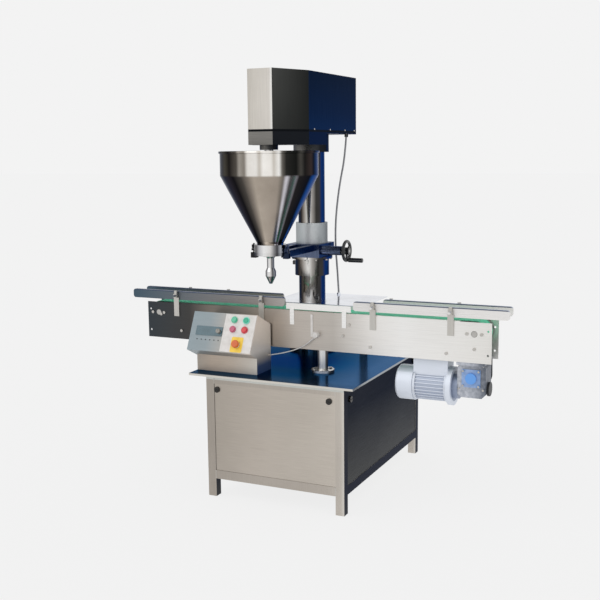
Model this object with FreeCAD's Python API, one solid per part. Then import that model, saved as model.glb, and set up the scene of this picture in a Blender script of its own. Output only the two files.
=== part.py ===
"""Auger powder filler: a column-mounted filling head over a bottle conveyor on a steel cabinet.

Units are millimetres. X runs along the conveyor, Y points to the back, Z is up.
The origin lies on the floor, midway along the conveyor and under the middle of the table.
Names ending in _X, _Y or _Z are places; _R is a radius, _D a diameter, _T a thickness.
"""

import FreeCAD
import Part
import math
import os

# Cabinet
TUBE = 40.0
TUBE_WALL = 2.0
FOOT_PLATE_T = 4.0
BASE_X = -82.5
BASE_WIDTH = 667.0
BASE_DEPTH = 993.0
LOW_RAIL_Z = 84.0
TOP_Z = 575.0
TOP_T = 10.0
TOP_OVERHANG_X = 59.5
TOP_OVERHANG_Y = 49.5
PANEL_GAP = 0.3
PANEL_RECESS = 2.0
PANEL_T = 2.0
PANEL_FOLD = 14.0
LOCK_D = 27.0
LOCK_HEAD = 6.0
LOCK_SLOT = 4.0
LOCK_STEM_D = 15.8
LOCK_FROM_TOP = 27.0
LOCK_FROM_LEG = {"front": (14.2, 29.0), "right": (35.8, 35.8)}
LOCK_CAM = (18.0, 44.0, 3.0)

# Clearances: running fit, small gap, air around a shaft or column
RUN = 0.05
CLEAR = 0.3
AIR = 1.0

# Conveyor
CONV_HALF = 830.0
PLATE_NEAR_Y = -324.0
CONV_WIDTH = 119.5
PLATE_T = 3.0
PLATE_LOW_Z = 677.0
PLATE_TOP_Z = 847.0
BELT_TOP_Z = 850.0
BELT_T = 2.0
BELT_WIDTH = 82.0
ROLLER_R = 50.0
ROLLER_WIDTH = 84.0
ROLLER_SHAFT_D = 25.0
DRIVE_X = 757.0
TAIL_X = -770.0
BEARING_D = 62.0
BEARING_W = 12.0
BED_T = 3.0
BED_FLANGE = 30.0
BED_END_GAP = 12.0
SPLICE_FROM_END = 15.0
SPLICE_SPACING = 100.0
SPLICE_HOLE_D = 9.0
PLATE_BOLTS = ((-755.0, 790.0), (-645.0, 717.0), (175.0, 750.0), (204.0, 800.0),
               (303.0, 709.0), (640.0, 709.0), (758.0, 735.0))
BOLT_HEAD_D = 13.0
BOLT_HEAD = 5.0
POST_BOLTS = 4

# Guide rails
RAIL_LOW_Z = 862.0
RAIL_HEIGHT = 41.0
RAIL_T = 14.0
RAIL_CORNER = 12.0
RAIL_SET_BACK = 2.0
FRONT_RAIL_ENDS = ((-912.0, -107.0), (222.0, 900.0))
REAR_RAIL_ENDS = (-905.0, 890.0)
FRONT_BRACKETS = ((-668.0, -220.0), (315.0, 658.0))
REAR_RAIL_GAP = (-163.0, 322.0)
REAR_STRIP_LAP = 2.0
REAR_BRACKETS = (-670.0, -461.0, 352.0, 657.0)
BRACKET_WIDTH = 27.0
BRACKET_T = 5.0
BRACKET_LOW_Z = 785.0
BRACKET_BLOCK = 16.0
RAIL_ROD_D = 10.0
RAIL_TRAVEL = 12.0
RAIL_KNOB_D = 16.0
RAIL_KNOB = 14.0
ROD_WALL = 4.0
ROD_SPARE = 2.0
GUIDE_ENDS = (-98.0, 212.0)
GUIDE_HEIGHT = 27.0
GUIDE_FOOT = 20.0
SENSOR_X = 54.0
SENSOR_Z = 747.0
SENSOR_D = 22.0
SENSOR_STRAP = 10.0
SENSOR_STRAP_GAP = 10.0
SENSOR_STRAP_TOP = 12.0
SENSOR_GLAND_D = 9.0
SENSOR_GLAND = 13.0

# Conveyor drive
GEAR_X = 742.0
GEAR_OUT_Z = 607.0
GEAR_CENTRES = 50.0
GEAR_Y = -255.0
GEAR_BODY = (120.0, 92.0, 144.0)
GEAR_ABOVE = 60.0
GEAR_OUT_D = 25.0
GEAR_CORNER = 16.0
GEAR_COVER = (80.0, 6.0, 76.0)
GEAR_BOSS_D = 46.0
GEAR_BOSS = 14.0
GEAR_CAP_D = 60.0
GEAR_CAP = 10.0
MOTOR_D = 138.0
MOTOR_BODY = 150.0
MOTOR_FAN = 76.0
MOTOR_FAN_D = 150.0
MOTOR_FLANGE_D = 165.0
MOTOR_FLANGE = 20.0
MOTOR_NECK = 22.0
MOTOR_NECK_D = 104.0
COWL_ROUND = 12.0
FIN = 5.0
FIN_T = 3.0
FIN_COUNT = 28
TERMINAL_BOX = (150.0, 90.0)
CHAIN_PITCH = 12.7
CHAIN_T = 8.0
CHAIN_W = 7.0
CHAIN_ROLLER_D = 7.0
LOWER_TEETH = 28
UPPER_TEETH = 19
SPROCKET_FROM_PLATE = 12.0

# Supports on the table
POST_PLACES = ((62.0, -285.0), (-380.0, -264.0))
POST_D = 48.0
POST_FLANGE_D = 104.0
POST_FLANGE_T = 10.0
DECK_POST_X = 70.0
DECK_POST_Y = 190.0
DECK_POST = 30.0
DECK_ENDS_X = (-288.0, 178.0)
DECK_BACK_Y = 234.0
DECK_T = 3.0
DECK_Z = 846.0

# Column and lift
COL_X = -196.5
COL_Y = 177.0
COL_D = 130.0
COL_WALL = 10.0
COL_GUIDE_D = 110.0
COL_SHOULDER_DROP = 17.0
COL_GUIDE_TOP_Z = 1330.0
COL_FOOT_D = 230.0
COL_FOOT_T = 16.0
COL_FOOT_BOLTS = 6
SLEEVE_D = 168.0
SLEEVE_LOW_Z = 945.0
LIFT_FLANGE_D = 202.0
LIFT_FLANGE_Z = 1027.0
LIFT_FLANGE_T = 11.0
BLOCK_HEIGHT = 64.0
BLOCK_HALF = 85.0
BLOCK_FRONT = 105.0
BLOCK_BACK = 78.0
COLLAR_D = 155.0
COLLAR_HEIGHT = 100.0
COLLAR_SEAT = 28.0
CLAMP_SCREW_Z = 1000.0
CLAMP_SCREW_D = 12.0
CLAMP_HEAD_D = 22.0
CLAMP_HEAD = 14.0
CLAMP_HEAD_FLAT = 9.0
CLAMP_SHOULDER = 4.0
BOSS_SHRINK = 20.0

# Rack, pinion and handwheel
GEAR_MODULE = 1.5
PRESSURE_ANGLE = 20.0
DEDENDUM = 1.25
FLANK_STEPS = 4
PINION_TEETH = 30
PINION_WIDTH = 20.0
PINION_DROP = 28.0
BACKLASH = 0.4
RACK_DEPTH_IN_GUIDE = 3.0
RACK_WIDTH = 24.0
RACK_LOW_Z = 1000.0
RACK_TOP_Z = 1240.0
SHAFT_D = 14.0
ARM_D = 44.0
ARM_END_X = -8.0
WHEEL_X = 18.0
WHEEL_D = 107.0
WHEEL_RIM_D = 15.0
WHEEL_HUB_D = 36.0
WHEEL_SPOKES = 3
WHEEL_SPOKE_D = 11.0
GRIP_FROM_AXIS = 43.0
GRIP_LENGTH = 72.0
GRIP_D = 22.0
GRIP_PIN_D = 10.0
GRIP_ROUND = 4.4

# Hopper, spout and auger
FILL_Y = -274.0
HOPPER_R = 219.0
HOPPER_RIM_Z = 1549.0
HOPPER_KINK_Z = 1441.0
NECK_R = 59.5
NECK_Z = 1139.0
HOPPER_WALL = 2.0
RIM_BEAD = 6.0
RING_D = 146.0
RING_Z = 1085.0
RING_T = 15.0
FLANGE_R = 67.0
FLANGE_T = 6.0
CLAMP_TOP_Z = 1134.0
ARM_SPACING = 90.0
ARM_WIDTH = 26.0
ARM_DEPTH = 30.0
TUBE_R = 16.5
TUBE_BORE_R = 14.0
CONE_R = 41.5
CONE_LOW_Z = 1071.0
TUBE_LOW_Z = 1028.0
BULGE_R = 23.9
BULGE_TOP_Z = 1012.0
BULGE_LOW_Z = 990.0
TIP_Z = 955.0
TIP_R = 6.7
TIP_WALL = 1.5
SPOUT_MOUTH_R = 51.5
SWING_X = 84.0
SWING_PIVOT_Z = 1078.0
SWING_BOLT_D = 8.0
SWING_NUT_D = 18.0
SWING_NUT_GAP = 0.8
SWING_NUT = 10.0
SWING_EYE_D = 14.0
SWING_PIN_D = 5.0
SWING_SHANK_TOP = 22.0
EAR_LOW = 4.0
EAR_T = 10.0
WING_SPAN = 34.0
WING_T = 4.0
WING_LOW = 3.0
WING_TOP = 17.0
EAR_HALF = 12.0
EAR_END = 6.0
LUG_HALF = 13.0
LUG_END = 10.0
LUG_BELOW = 7.0
LUG_DROP = 4.0
SLOT_AIR = 0.5
AUGER_SHAFT_D = 20.0
AUGER_FLIGHT_R = 13.5
AUGER_PITCH = 18.0
AUGER_LOW_Z = 1016.0
AUGER_FLIGHT_TOP_Z = 1124.0
AUGER_CORE_D = 12.0
FLIGHT_T = 2.0
FLIGHT_ROOT = 0.5
FLIGHT_END = 2.0
AGITATOR_D = 40.0
AGITATOR_LOW_Z = 1420.0
BLADE_T = 10.0
BLADE_WIDTH = 14.0
BLADE_GAP = 14.0
BLADE_FOOT_Z = 1160.0
BLADE_ROOT = 8.0

# Head
HEAD_FRONT_Y = -355.0
HEAD_NOSE = 119.0
HEAD_WIDTH = 278.0
HEAD_KINK_Y = -149.0
HEAD_BACK_Y = 415.0
HEAD_BOX_BACK_Y = 49.0
HEAD_LOW_Z = 1575.0
HEAD_PLATE_Z = 1626.0
HEAD_PLATE_T = 6.0
HEAD_TOP_Z = 1901.0
HEAD_WALL = 4.0
COVER_T = 2.0
HEAD_BOSS_D = 172.0
HEAD_BOSS_LOW_Z = 1541.0
SPINDLE_D = 82.0
SPINDLE_LOW_Z = 1553.0
GEARBOX = (104.0, 104.0, 70.0)
AGITATOR_MOTOR_D = 88.0
AGITATOR_MOTOR = 190.0
SERVO = 86.0
SERVO_FLANGE_T = 10.0
SERVO_FLANGE_EDGE = 4.0
SERVO_HEIGHT = 165.0
AUGER_SEAT = 28.0

# Console
CONSOLE_LEFT = -491.0
CONSOLE_BODY_LEFT = -476.0
CONSOLE_RIGHT = -172.0
CONSOLE_BACK_Y = -334.0
CONSOLE_FOOT_Y = -469.0
LIP_Y = -532.0
LIP_Z = 678.0
FACE_LENGTH = 178.5
FACE_ANGLE = 64.4
CONSOLE_WALL = 2.0
WHITE_PLATE = (-326.0, -174.0, 4.0, 175.0)
WHITE_PLATE_T = 2.0
BUTTON_X = -220.0
LAMP_X = -279.0
UPPER_ROW = 150.0
LOWER_ROW = 107.0
BEZEL_D = 30.0
BEZEL = 5.0
CAP_D = 22.0
CAP = 9.0
STEM_D = 10.0
STEM = 30.0
BUTTON_TRAVEL = 3.0
STOP_PLACE = (-246.0, 39.0)
STOP_D = 34.0
STOP_STEM_D = 20.0
STOP_GAP = 8.0
STOP_HEAD = 12.0
DISPLAY = (-462.0, -330.0, 71.0, 113.0)
DISPLAY_T = 3.0
DISPLAY_DEPTH = 40.0
DISPLAY_EDGE = 4.0
DISPLAY_KNOB_BAY = 30.0
KNOB_X = -345.0
KNOB_D = 20.0
KNOB = 14.0
KNOB_SHAFT_D = 6.0
KNOB_MARK = 2.0

# Cords, each a round flex laid through hand-placed points
HEAD_CABLE_D = 9.0
HEAD_CABLE = ((-50.0, 268.0, 1612.0), (-56.0, 262.0, 1508.0), (-77.0, 255.0, 1400.0),
              (-91.0, 248.0, 1290.0), (-98.0, 242.0, 1180.0), (-95.0, 236.0, 1070.0),
              (-82.0, 228.0, 960.0), (-72.0, 218.0, 854.0))
SENSOR_CABLE_D = 5.0
SENSOR_CABLE = ((42.0, -339.0, 732.0), (8.0, -340.0, 701.0), (-34.0, -342.0, 679.0),
                (-80.0, -345.0, 663.0), (-126.0, -350.0, 651.0), (-162.0, -355.0, 645.0))
GLAND_D = 18.0
ARC_SHARE = 0.45

# Places that follow from the sizes above
BASE_LEFT = BASE_X - BASE_WIDTH / 2
BASE_RIGHT = BASE_X + BASE_WIDTH / 2
BASE_FRONT = -BASE_DEPTH / 2
BASE_BACK = BASE_DEPTH / 2
UNDER_TOP = TOP_Z - TOP_T
PLATE_FAR_Y = PLATE_NEAR_Y + CONV_WIDTH
BELT_Y = (PLATE_NEAR_Y + PLATE_FAR_Y) / 2
BELT_R = ROLLER_R + CLEAR
ROLLER_Z = BELT_TOP_Z - BELT_T - BELT_R
RAIL_TOP_Z = RAIL_LOW_Z + RAIL_HEIGHT
RAIL_MID_Z = RAIL_LOW_Z + RAIL_HEIGHT / 2
MOTOR_Z = GEAR_OUT_Z - GEAR_CENTRES
GEAR_LEFT = GEAR_X - GEAR_BODY[0] / 2
SPROCKET_Y = PLATE_FAR_Y + SPROCKET_FROM_PLATE
LIFT_BLOCK_Z = LIFT_FLANGE_Z + LIFT_FLANGE_T
BLOCK_TOP_Z = LIFT_BLOCK_Z + BLOCK_HEIGHT
COL_SHOULDER_Z = BLOCK_TOP_Z - COL_SHOULDER_DROP
COLLAR_SEAT_Z = BLOCK_TOP_Z + COLLAR_SEAT
COLLAR_TOP_Z = BLOCK_TOP_Z + COLLAR_HEIGHT
PINION_Z = BLOCK_TOP_Z - PINION_DROP
RACK_Y = COL_Y - COL_GUIDE_D / 2 + RACK_DEPTH_IN_GUIDE
PINION_R = GEAR_MODULE * PINION_TEETH / 2
PINION_Y = RACK_Y + GEAR_MODULE - PINION_R
RING_TOP_Z = RING_Z + RING_T
SPOUT_TOP_Z = RING_TOP_Z + FLANGE_T
HEAD_DECK_Z = HEAD_PLATE_Z + HEAD_PLATE_T
SERVO_Z = HEAD_DECK_Z + GEARBOX[2]
X_AXIS = FreeCAD.Vector(1, 0, 0)
Y_AXIS = FreeCAD.Vector(0, 1, 0)
Z_AXIS = FreeCAD.Vector(0, 0, 1)


def vec(x, y, z):
    return FreeCAD.Vector(x, y, z)


def block(x0, x1, y0, y1, z0, z1):
    return Part.makeBox(x1 - x0, y1 - y0, z1 - z0, vec(x0, y0, z0))


def rod(start, axis, diameter, length):
    return Part.makeCylinder(diameter / 2, length, start, axis)


def ring(start, axis, outer_d, inner_d, length):
    return rod(start, axis, outer_d, length).cut(rod(start, axis, inner_d, length))


def fuse(shapes):
    first, *rest = shapes
    return first.multiFuse(rest).removeSplitter() if rest else first


def prism(points, direction):
    wire = Part.makePolygon([*points, points[0]])
    return Part.Face(wire).extrude(direction)


def turned(profile, x, y):
    """Solid turned about a vertical axis at x, y from (radius, height) points."""
    points = [vec(x + r, y, z) for r, z in profile]
    face = Part.Face(Part.makePolygon([*points, points[0]]))
    return face.revolve(vec(x, y, 0), Z_AXIS, 360)


def group(shapes):
    return Part.makeCompound(shapes)


def cord(points, diameter):
    """Round flex: straight runs joined by tangent arcs, and the list of its bend radii."""
    points = [vec(*p) for p in points]
    edges = []
    radii = []
    start = points[0]
    for before, corner, after in zip(points, points[1:], points[2:]):
        into = (corner - before).normalize()
        out = (after - corner).normalize()
        half_turn = into.getAngle(out) / 2
        shorter = min((corner - before).Length, (after - corner).Length)
        setback = ARC_SHARE * shorter
        radii.append(setback / math.tan(half_turn))
        arc_start = corner - into * setback
        arc_end = corner + out * setback
        inward = (out - into).normalize()
        centre = corner + inward * (radii[-1] / math.cos(half_turn))
        middle = centre - inward * radii[-1]
        edges.append(Part.LineSegment(start, arc_start).toShape())
        edges.append(Part.Arc(arc_start, middle, arc_end).toShape())
        start = arc_end
    edges.append(Part.LineSegment(start, points[-1]).toShape())
    path = Part.Wire(edges)
    direction = points[1] - points[0]
    section = Part.Wire(Part.makeCircle(diameter / 2, points[0], direction))
    solid = path.makePipeShell([section], True, False)
    area = math.pi * diameter * diameter / 4
    print("cord", round(path.Length, 1), "mm, volume ratio", round(solid.Volume / (area * path.Length), 3))
    print("  bend radii", [round(r) for r in radii])
    return solid


# Cabinet ---------------------------------------------------------------

def base_frame():
    """Welded square tube: four legs with foot plates, and eight rails between them."""
    tubes = []
    low, high = LOW_RAIL_Z, UNDER_TOP - TUBE
    wall = TUBE_WALL
    for x in (BASE_LEFT, BASE_RIGHT - TUBE):
        for y in (BASE_FRONT, BASE_BACK - TUBE):
            leg = block(x, x + TUBE, y, y + TUBE, 0, UNDER_TOP)
            tubes.append(leg.cut(block(x + wall, x + TUBE - wall, y + wall, y + TUBE - wall,
                                       FOOT_PLATE_T, UNDER_TOP)))
        for z in (low, high):
            y0, y1 = BASE_FRONT + TUBE, BASE_BACK - TUBE
            rail = block(x, x + TUBE, y0, y1, z, z + TUBE)
            tubes.append(rail.cut(block(x + wall, x + TUBE - wall, y0, y1, z + wall, z + TUBE - wall)))
    for y in (BASE_FRONT, BASE_BACK - TUBE):
        for z in (low, high):
            x0, x1 = BASE_LEFT + TUBE, BASE_RIGHT - TUBE
            rail = block(x0, x1, y, y + TUBE, z, z + TUBE)
            tubes.append(rail.cut(block(x0, x1, y + wall, y + TUBE - wall, z + wall, z + TUBE - wall)))
    return group(tubes)


def table_top():
    left = BASE_LEFT - TOP_OVERHANG_X
    right = BASE_RIGHT + TOP_OVERHANG_X
    front = BASE_FRONT - TOP_OVERHANG_Y
    back = BASE_BACK + TOP_OVERHANG_Y
    return block(left, right, front, back, UNDER_TOP, TOP_Z)


def panel_height():
    return LOW_RAIL_Z + TUBE + PANEL_GAP, UNDER_TOP - TUBE - PANEL_GAP


def tray(width, holes):
    """Panel sheet with a folded edge, its outer face on Y = 0 and its middle at X = 0."""
    low, high = panel_height()
    half = width / 2 - PANEL_GAP
    sheet = block(-half, half, 0, PANEL_FOLD, low, high)
    inside = block(-half + PANEL_T, half - PANEL_T, PANEL_T, PANEL_FOLD, low + PANEL_T, high - PANEL_T)
    sheet = sheet.cut(inside)
    for x in holes:
        hole_d = LOCK_STEM_D + 2 * RUN
        sheet = sheet.cut(rod(vec(x, 0, lock_z()), Y_AXIS, hole_d, PANEL_FOLD))
    return sheet


def lock_z():
    return panel_height()[1] - LOCK_FROM_TOP


def lock_places(side):
    """Places of a panel's two locks along its own X; panels without locks have none."""
    if side not in LOCK_FROM_LEG:
        return ()
    first, second = LOCK_FROM_LEG[side]
    half = bay(side) / 2
    return first - half, half - second


def placed_panel(shape, side):
    """Puts a tray built on Y = 0 against the front, back, left or right of the frame."""
    angle, x, y = {
        "front": (0, BASE_X, BASE_FRONT + PANEL_RECESS),
        "right": (90, BASE_RIGHT - PANEL_RECESS, 0),
        "back": (180, BASE_X, BASE_BACK - PANEL_RECESS),
        "left": (-90, BASE_LEFT + PANEL_RECESS, 0),
    }[side]
    shape.rotate(vec(0, 0, 0), Z_AXIS, angle)
    shape.translate(vec(x, y, 0))
    return shape


def bay(side):
    return (BASE_WIDTH if side in ("front", "back") else BASE_DEPTH) - 2 * TUBE


def panel(side):
    return placed_panel(tray(bay(side), lock_places(side)), side)


def panel_lock(side, which):
    """Quarter-turn lock: slotted head, stem and a cam that hooks behind the top rail."""
    x = lock_places(side)[which]
    z = lock_z()
    width, reach, thick = LOCK_CAM
    cam_y = TUBE - PANEL_RECESS + CLEAR
    head = rod(vec(x, -LOCK_HEAD, z), Y_AXIS, LOCK_D, LOCK_HEAD)
    head = head.cut(block(x - LOCK_D / 2, x + LOCK_D / 2, -LOCK_HEAD, -LOCK_HEAD / 2,
                          z - LOCK_SLOT / 2, z + LOCK_SLOT / 2))
    stem = rod(vec(x, 0, z), Y_AXIS, LOCK_STEM_D, cam_y + thick)
    cam = block(x - width / 2, x + width / 2, cam_y, cam_y + thick, z, z + reach)
    return placed_panel(fuse([head, stem, cam]), side)


# Conveyor --------------------------------------------------------------

def roller_places():
    return (DRIVE_X, TAIL_X)


def side_plate(near):
    """Folded side plate of the conveyor with its shaft and splice holes."""
    outer = PLATE_NEAR_Y if near else PLATE_FAR_Y - PLATE_T
    plate = block(-CONV_HALF, CONV_HALF, outer, outer + PLATE_T, PLATE_LOW_Z, PLATE_TOP_Z)
    holes = [rod(vec(x, outer, ROLLER_Z), Y_AXIS, ROLLER_SHAFT_D + 2 * AIR, PLATE_T) for x in roller_places()]
    middle = (PLATE_LOW_Z + PLATE_TOP_Z) / 2
    for x in (-CONV_HALF + SPLICE_FROM_END, CONV_HALF - SPLICE_FROM_END):
        for z in (middle - SPLICE_SPACING / 2, middle + SPLICE_SPACING / 2):
            holes.append(rod(vec(x, outer, z), Y_AXIS, SPLICE_HOLE_D, PLATE_T))
    return plate.cut(holes)


def slider_bed():
    top = BELT_TOP_Z - BELT_T
    left = TAIL_X + ROLLER_R + BED_END_GAP
    right = DRIVE_X - ROLLER_R - BED_END_GAP
    front = PLATE_NEAR_Y + PLATE_T
    back = PLATE_FAR_Y - PLATE_T
    web = block(left, right, front, back, top - BED_T, top)
    flanges = [block(left, right, y, y + BED_T, top - BED_FLANGE, top) for y in (front, back - BED_T)]
    return fuse([web, *flanges])


def loop(radius):
    """Stadium outline around both rollers, extruded across the belt."""
    front = BELT_Y - BELT_WIDTH / 2
    ends = [rod(vec(x, front, ROLLER_Z), Y_AXIS, 2 * radius, BELT_WIDTH) for x in roller_places()]
    middle = block(TAIL_X, DRIVE_X, front, front + BELT_WIDTH, ROLLER_Z - radius, ROLLER_Z + radius)
    return fuse([*ends, middle])


def conveyor_belt():
    return loop(BELT_R + BELT_T).cut(loop(BELT_R))


def sprocket(x, z, teeth, bore_d):
    """Chain wheel in the X-Z plane, its rim just inside the chain."""
    rim = chain_radius(teeth) - CHAIN_T / 2 - CLEAR
    start = SPROCKET_Y - CHAIN_W / 2
    wheel = rod(vec(x, start, z), Y_AXIS, 2 * rim, CHAIN_W)
    gaps = []
    for n in range(teeth):
        angle = 2 * math.pi * n / teeth
        centre = vec(x + rim * math.cos(angle), start, z + rim * math.sin(angle))
        gaps.append(rod(centre, Y_AXIS, CHAIN_ROLLER_D, CHAIN_W))
    wheel = wheel.cut(gaps)
    return wheel.cut(rod(vec(x, start, z), Y_AXIS, bore_d, CHAIN_W)) if bore_d else wheel


def chain_radius(teeth):
    return CHAIN_PITCH / (2 * math.sin(math.pi / teeth))


def drive_roller():
    front = BELT_Y - ROLLER_WIDTH / 2
    drum = rod(vec(DRIVE_X, front, ROLLER_Z), Y_AXIS, 2 * ROLLER_R, ROLLER_WIDTH)
    end = SPROCKET_Y + CHAIN_W / 2
    shaft = rod(vec(DRIVE_X, PLATE_NEAR_Y, ROLLER_Z), Y_AXIS, ROLLER_SHAFT_D, end - PLATE_NEAR_Y)
    return fuse([drum, shaft, sprocket(DRIVE_X, ROLLER_Z, UPPER_TEETH, 0)])


def tail_roller():
    front = BELT_Y - ROLLER_WIDTH / 2
    drum = rod(vec(TAIL_X, front, ROLLER_Z), Y_AXIS, 2 * ROLLER_R, ROLLER_WIDTH)
    shaft = rod(vec(TAIL_X, PLATE_NEAR_Y, ROLLER_Z), Y_AXIS, ROLLER_SHAFT_D, CONV_WIDTH)
    return fuse([drum, shaft])


def roller_bearings():
    bore = ROLLER_SHAFT_D + 2 * RUN
    rings = []
    for x in roller_places():
        for y in (PLATE_NEAR_Y + PLATE_T, PLATE_FAR_Y - PLATE_T - BEARING_W):
            rings.append(ring(vec(x, y, ROLLER_Z), Y_AXIS, BEARING_D, bore, BEARING_W))
    return group(rings)


def rail_bar(x0, x1, y0):
    """Guide rail strip with rounded corners."""
    bar = block(x0, x1, y0, y0 + RAIL_T, RAIL_LOW_Z, RAIL_TOP_Z)
    corners = [e for e in bar.Edges if e.BoundBox.XLength + e.BoundBox.ZLength < RAIL_T / 2]
    return bar.makeFillet(RAIL_CORNER, corners)


def front_rail(index):
    """Front guide rail on its adjusting rods."""
    y0 = PLATE_NEAR_Y + RAIL_SET_BACK
    length = RAIL_SET_BACK + BRACKET_BLOCK + RAIL_TRAVEL + ROD_SPARE
    rods = [rod(vec(x, y0 - length, RAIL_MID_Z), Y_AXIS, RAIL_ROD_D, length) for x in FRONT_BRACKETS[index]]
    return fuse([rail_bar(*FRONT_RAIL_ENDS[index], y0), *rods])


def rear_rail():
    """Rear guide rail: two bars joined by a low strip where the station's deck shows."""
    back = PLATE_FAR_Y - RAIL_SET_BACK
    (x0, x1), (gap0, gap1) = REAR_RAIL_ENDS, REAR_RAIL_GAP
    bars = [rail_bar(x0, gap0, back - RAIL_T), rail_bar(gap1, x1, back - RAIL_T)]
    strip = block(gap0 - RAIL_HEIGHT, gap1 + RAIL_HEIGHT, back - RAIL_T, back,
                  BELT_TOP_Z + AIR, RAIL_LOW_Z + REAR_STRIP_LAP)
    length = RAIL_SET_BACK + BRACKET_BLOCK + RAIL_TRAVEL + ROD_SPARE
    rods = [rod(vec(x, back, RAIL_MID_Z), Y_AXIS, RAIL_ROD_D, length) for x in REAR_BRACKETS]
    return fuse([*bars, strip, *rods])


def rail_bracket(x, face, outward):
    """Flat bar on a side plate, with the clamp block and knob that hold a rail's rod."""
    def span(a, b):
        return sorted((face + outward * a, face + outward * b))

    half = BRACKET_WIDTH / 2
    block_half = RAIL_ROD_D / 2 + ROD_WALL
    bar = block(x - half, x + half, *span(0, BRACKET_T), BRACKET_LOW_Z, RAIL_MID_Z - block_half)
    clamp = block(x - block_half, x + block_half, *span(0, BRACKET_BLOCK),
                  RAIL_MID_Z - block_half, RAIL_MID_Z + block_half)
    bore = rod(vec(x, span(0, BRACKET_BLOCK)[0], RAIL_MID_Z), Y_AXIS, RAIL_ROD_D + 2 * RUN, BRACKET_BLOCK)
    knob_y = face + outward * BRACKET_BLOCK / 2
    knob = rod(vec(x, knob_y, RAIL_MID_Z + block_half), Z_AXIS, RAIL_KNOB_D, RAIL_KNOB)
    return [fuse([bar, clamp]).cut(bore), knob]


def rail_brackets():
    solids = []
    for x in (*FRONT_BRACKETS[0], *FRONT_BRACKETS[1]):
        solids += rail_bracket(x, PLATE_NEAR_Y, -1)
    for x in REAR_BRACKETS:
        solids += rail_bracket(x, PLATE_FAR_Y, 1)
    return group(solids)


def station_guide():
    """Low bottle guide in the gap between the front rails, on two tabs of the side plate."""
    x0, x1 = GUIDE_ENDS
    foot_z = BELT_TOP_Z + PLATE_T
    face = PLATE_NEAR_Y + RAIL_SET_BACK
    strip = block(x0, x1, face, face + PLATE_T, foot_z, foot_z + GUIDE_HEIGHT)
    feet = []
    for x in (x0 + GUIDE_FOOT, x1 - 2 * GUIDE_FOOT):
        tab = block(x, x + GUIDE_FOOT, PLATE_NEAR_Y - PLATE_T, PLATE_NEAR_Y, BRACKET_LOW_Z, foot_z + PLATE_T)
        foot = block(x, x + GUIDE_FOOT, PLATE_NEAR_Y - PLATE_T, face + PLATE_T, foot_z, foot_z + PLATE_T)
        feet += [tab, foot]
    return fuse([strip, *feet])


def sensor():
    """Bottle sensor: a round barrel on a strap hung from the side plate's top."""
    outer = PLATE_NEAR_Y - PLATE_T
    half = SENSOR_D / 2
    strap_x = SENSOR_X - half - SENSOR_STRAP_GAP - SENSOR_STRAP
    strap = block(strap_x, strap_x + SENSOR_STRAP, outer, PLATE_NEAR_Y,
                  SENSOR_Z - half, PLATE_TOP_Z - SENSOR_STRAP_TOP)
    foot = block(strap_x, SENSOR_X, outer, PLATE_NEAR_Y, SENSOR_Z - half, SENSOR_Z + half)
    barrel = rod(vec(SENSOR_X, outer - SENSOR_D, SENSOR_Z), Y_AXIS, SENSOR_D, SENSOR_D + PLATE_T)
    first, second = (vec(*p) for p in SENSOR_CABLE[:2])
    away = (first - second).normalize()
    gland = rod(first, away, SENSOR_GLAND_D, SENSOR_GLAND)
    return fuse([strap, foot, barrel, gland])


# Conveyor drive --------------------------------------------------------

def drive_motor():
    """Finned motor, its fan cowl, terminal box and mounting flange, along X."""
    flange_x = GEAR_LEFT - MOTOR_NECK - MOTOR_FLANGE
    body_x = flange_x - MOTOR_BODY
    core = rod(vec(body_x, GEAR_Y, MOTOR_Z), X_AXIS, MOTOR_D - 2 * FIN, MOTOR_BODY)
    fins = []
    for n in range(FIN_COUNT):
        fin = block(body_x, flange_x, GEAR_Y - FIN_T / 2, GEAR_Y + FIN_T / 2,
                    MOTOR_Z, MOTOR_Z + MOTOR_D / 2)
        fin.rotate(vec(body_x, GEAR_Y, MOTOR_Z), X_AXIS, 360 * n / FIN_COUNT)
        fins.append(fin)
    cowl = rod(vec(body_x - MOTOR_FAN, GEAR_Y, MOTOR_Z), X_AXIS, MOTOR_FAN_D, MOTOR_FAN)
    cowl = cowl.makeFillet(COWL_ROUND, [cowl.Edges[i] for i in cowl_rim(cowl, body_x - MOTOR_FAN)])
    flange = rod(vec(flange_x, GEAR_Y, MOTOR_Z), X_AXIS, MOTOR_FLANGE_D, MOTOR_FLANGE)
    neck = rod(vec(flange_x + MOTOR_FLANGE, GEAR_Y, MOTOR_Z), X_AXIS, MOTOR_NECK_D, MOTOR_NECK)
    length, depth = TERMINAL_BOX
    box_x = flange_x - length
    box = block(box_x, box_x + length, GEAR_Y - depth / 2, GEAR_Y + depth / 2, MOTOR_Z, PLATE_LOW_Z)
    return fuse([core, *fins, cowl, flange, neck, box])


def cowl_rim(shape, x):
    return [i for i, edge in enumerate(shape.Edges) if abs(edge.BoundBox.XMax - x) < 0.01]


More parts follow.
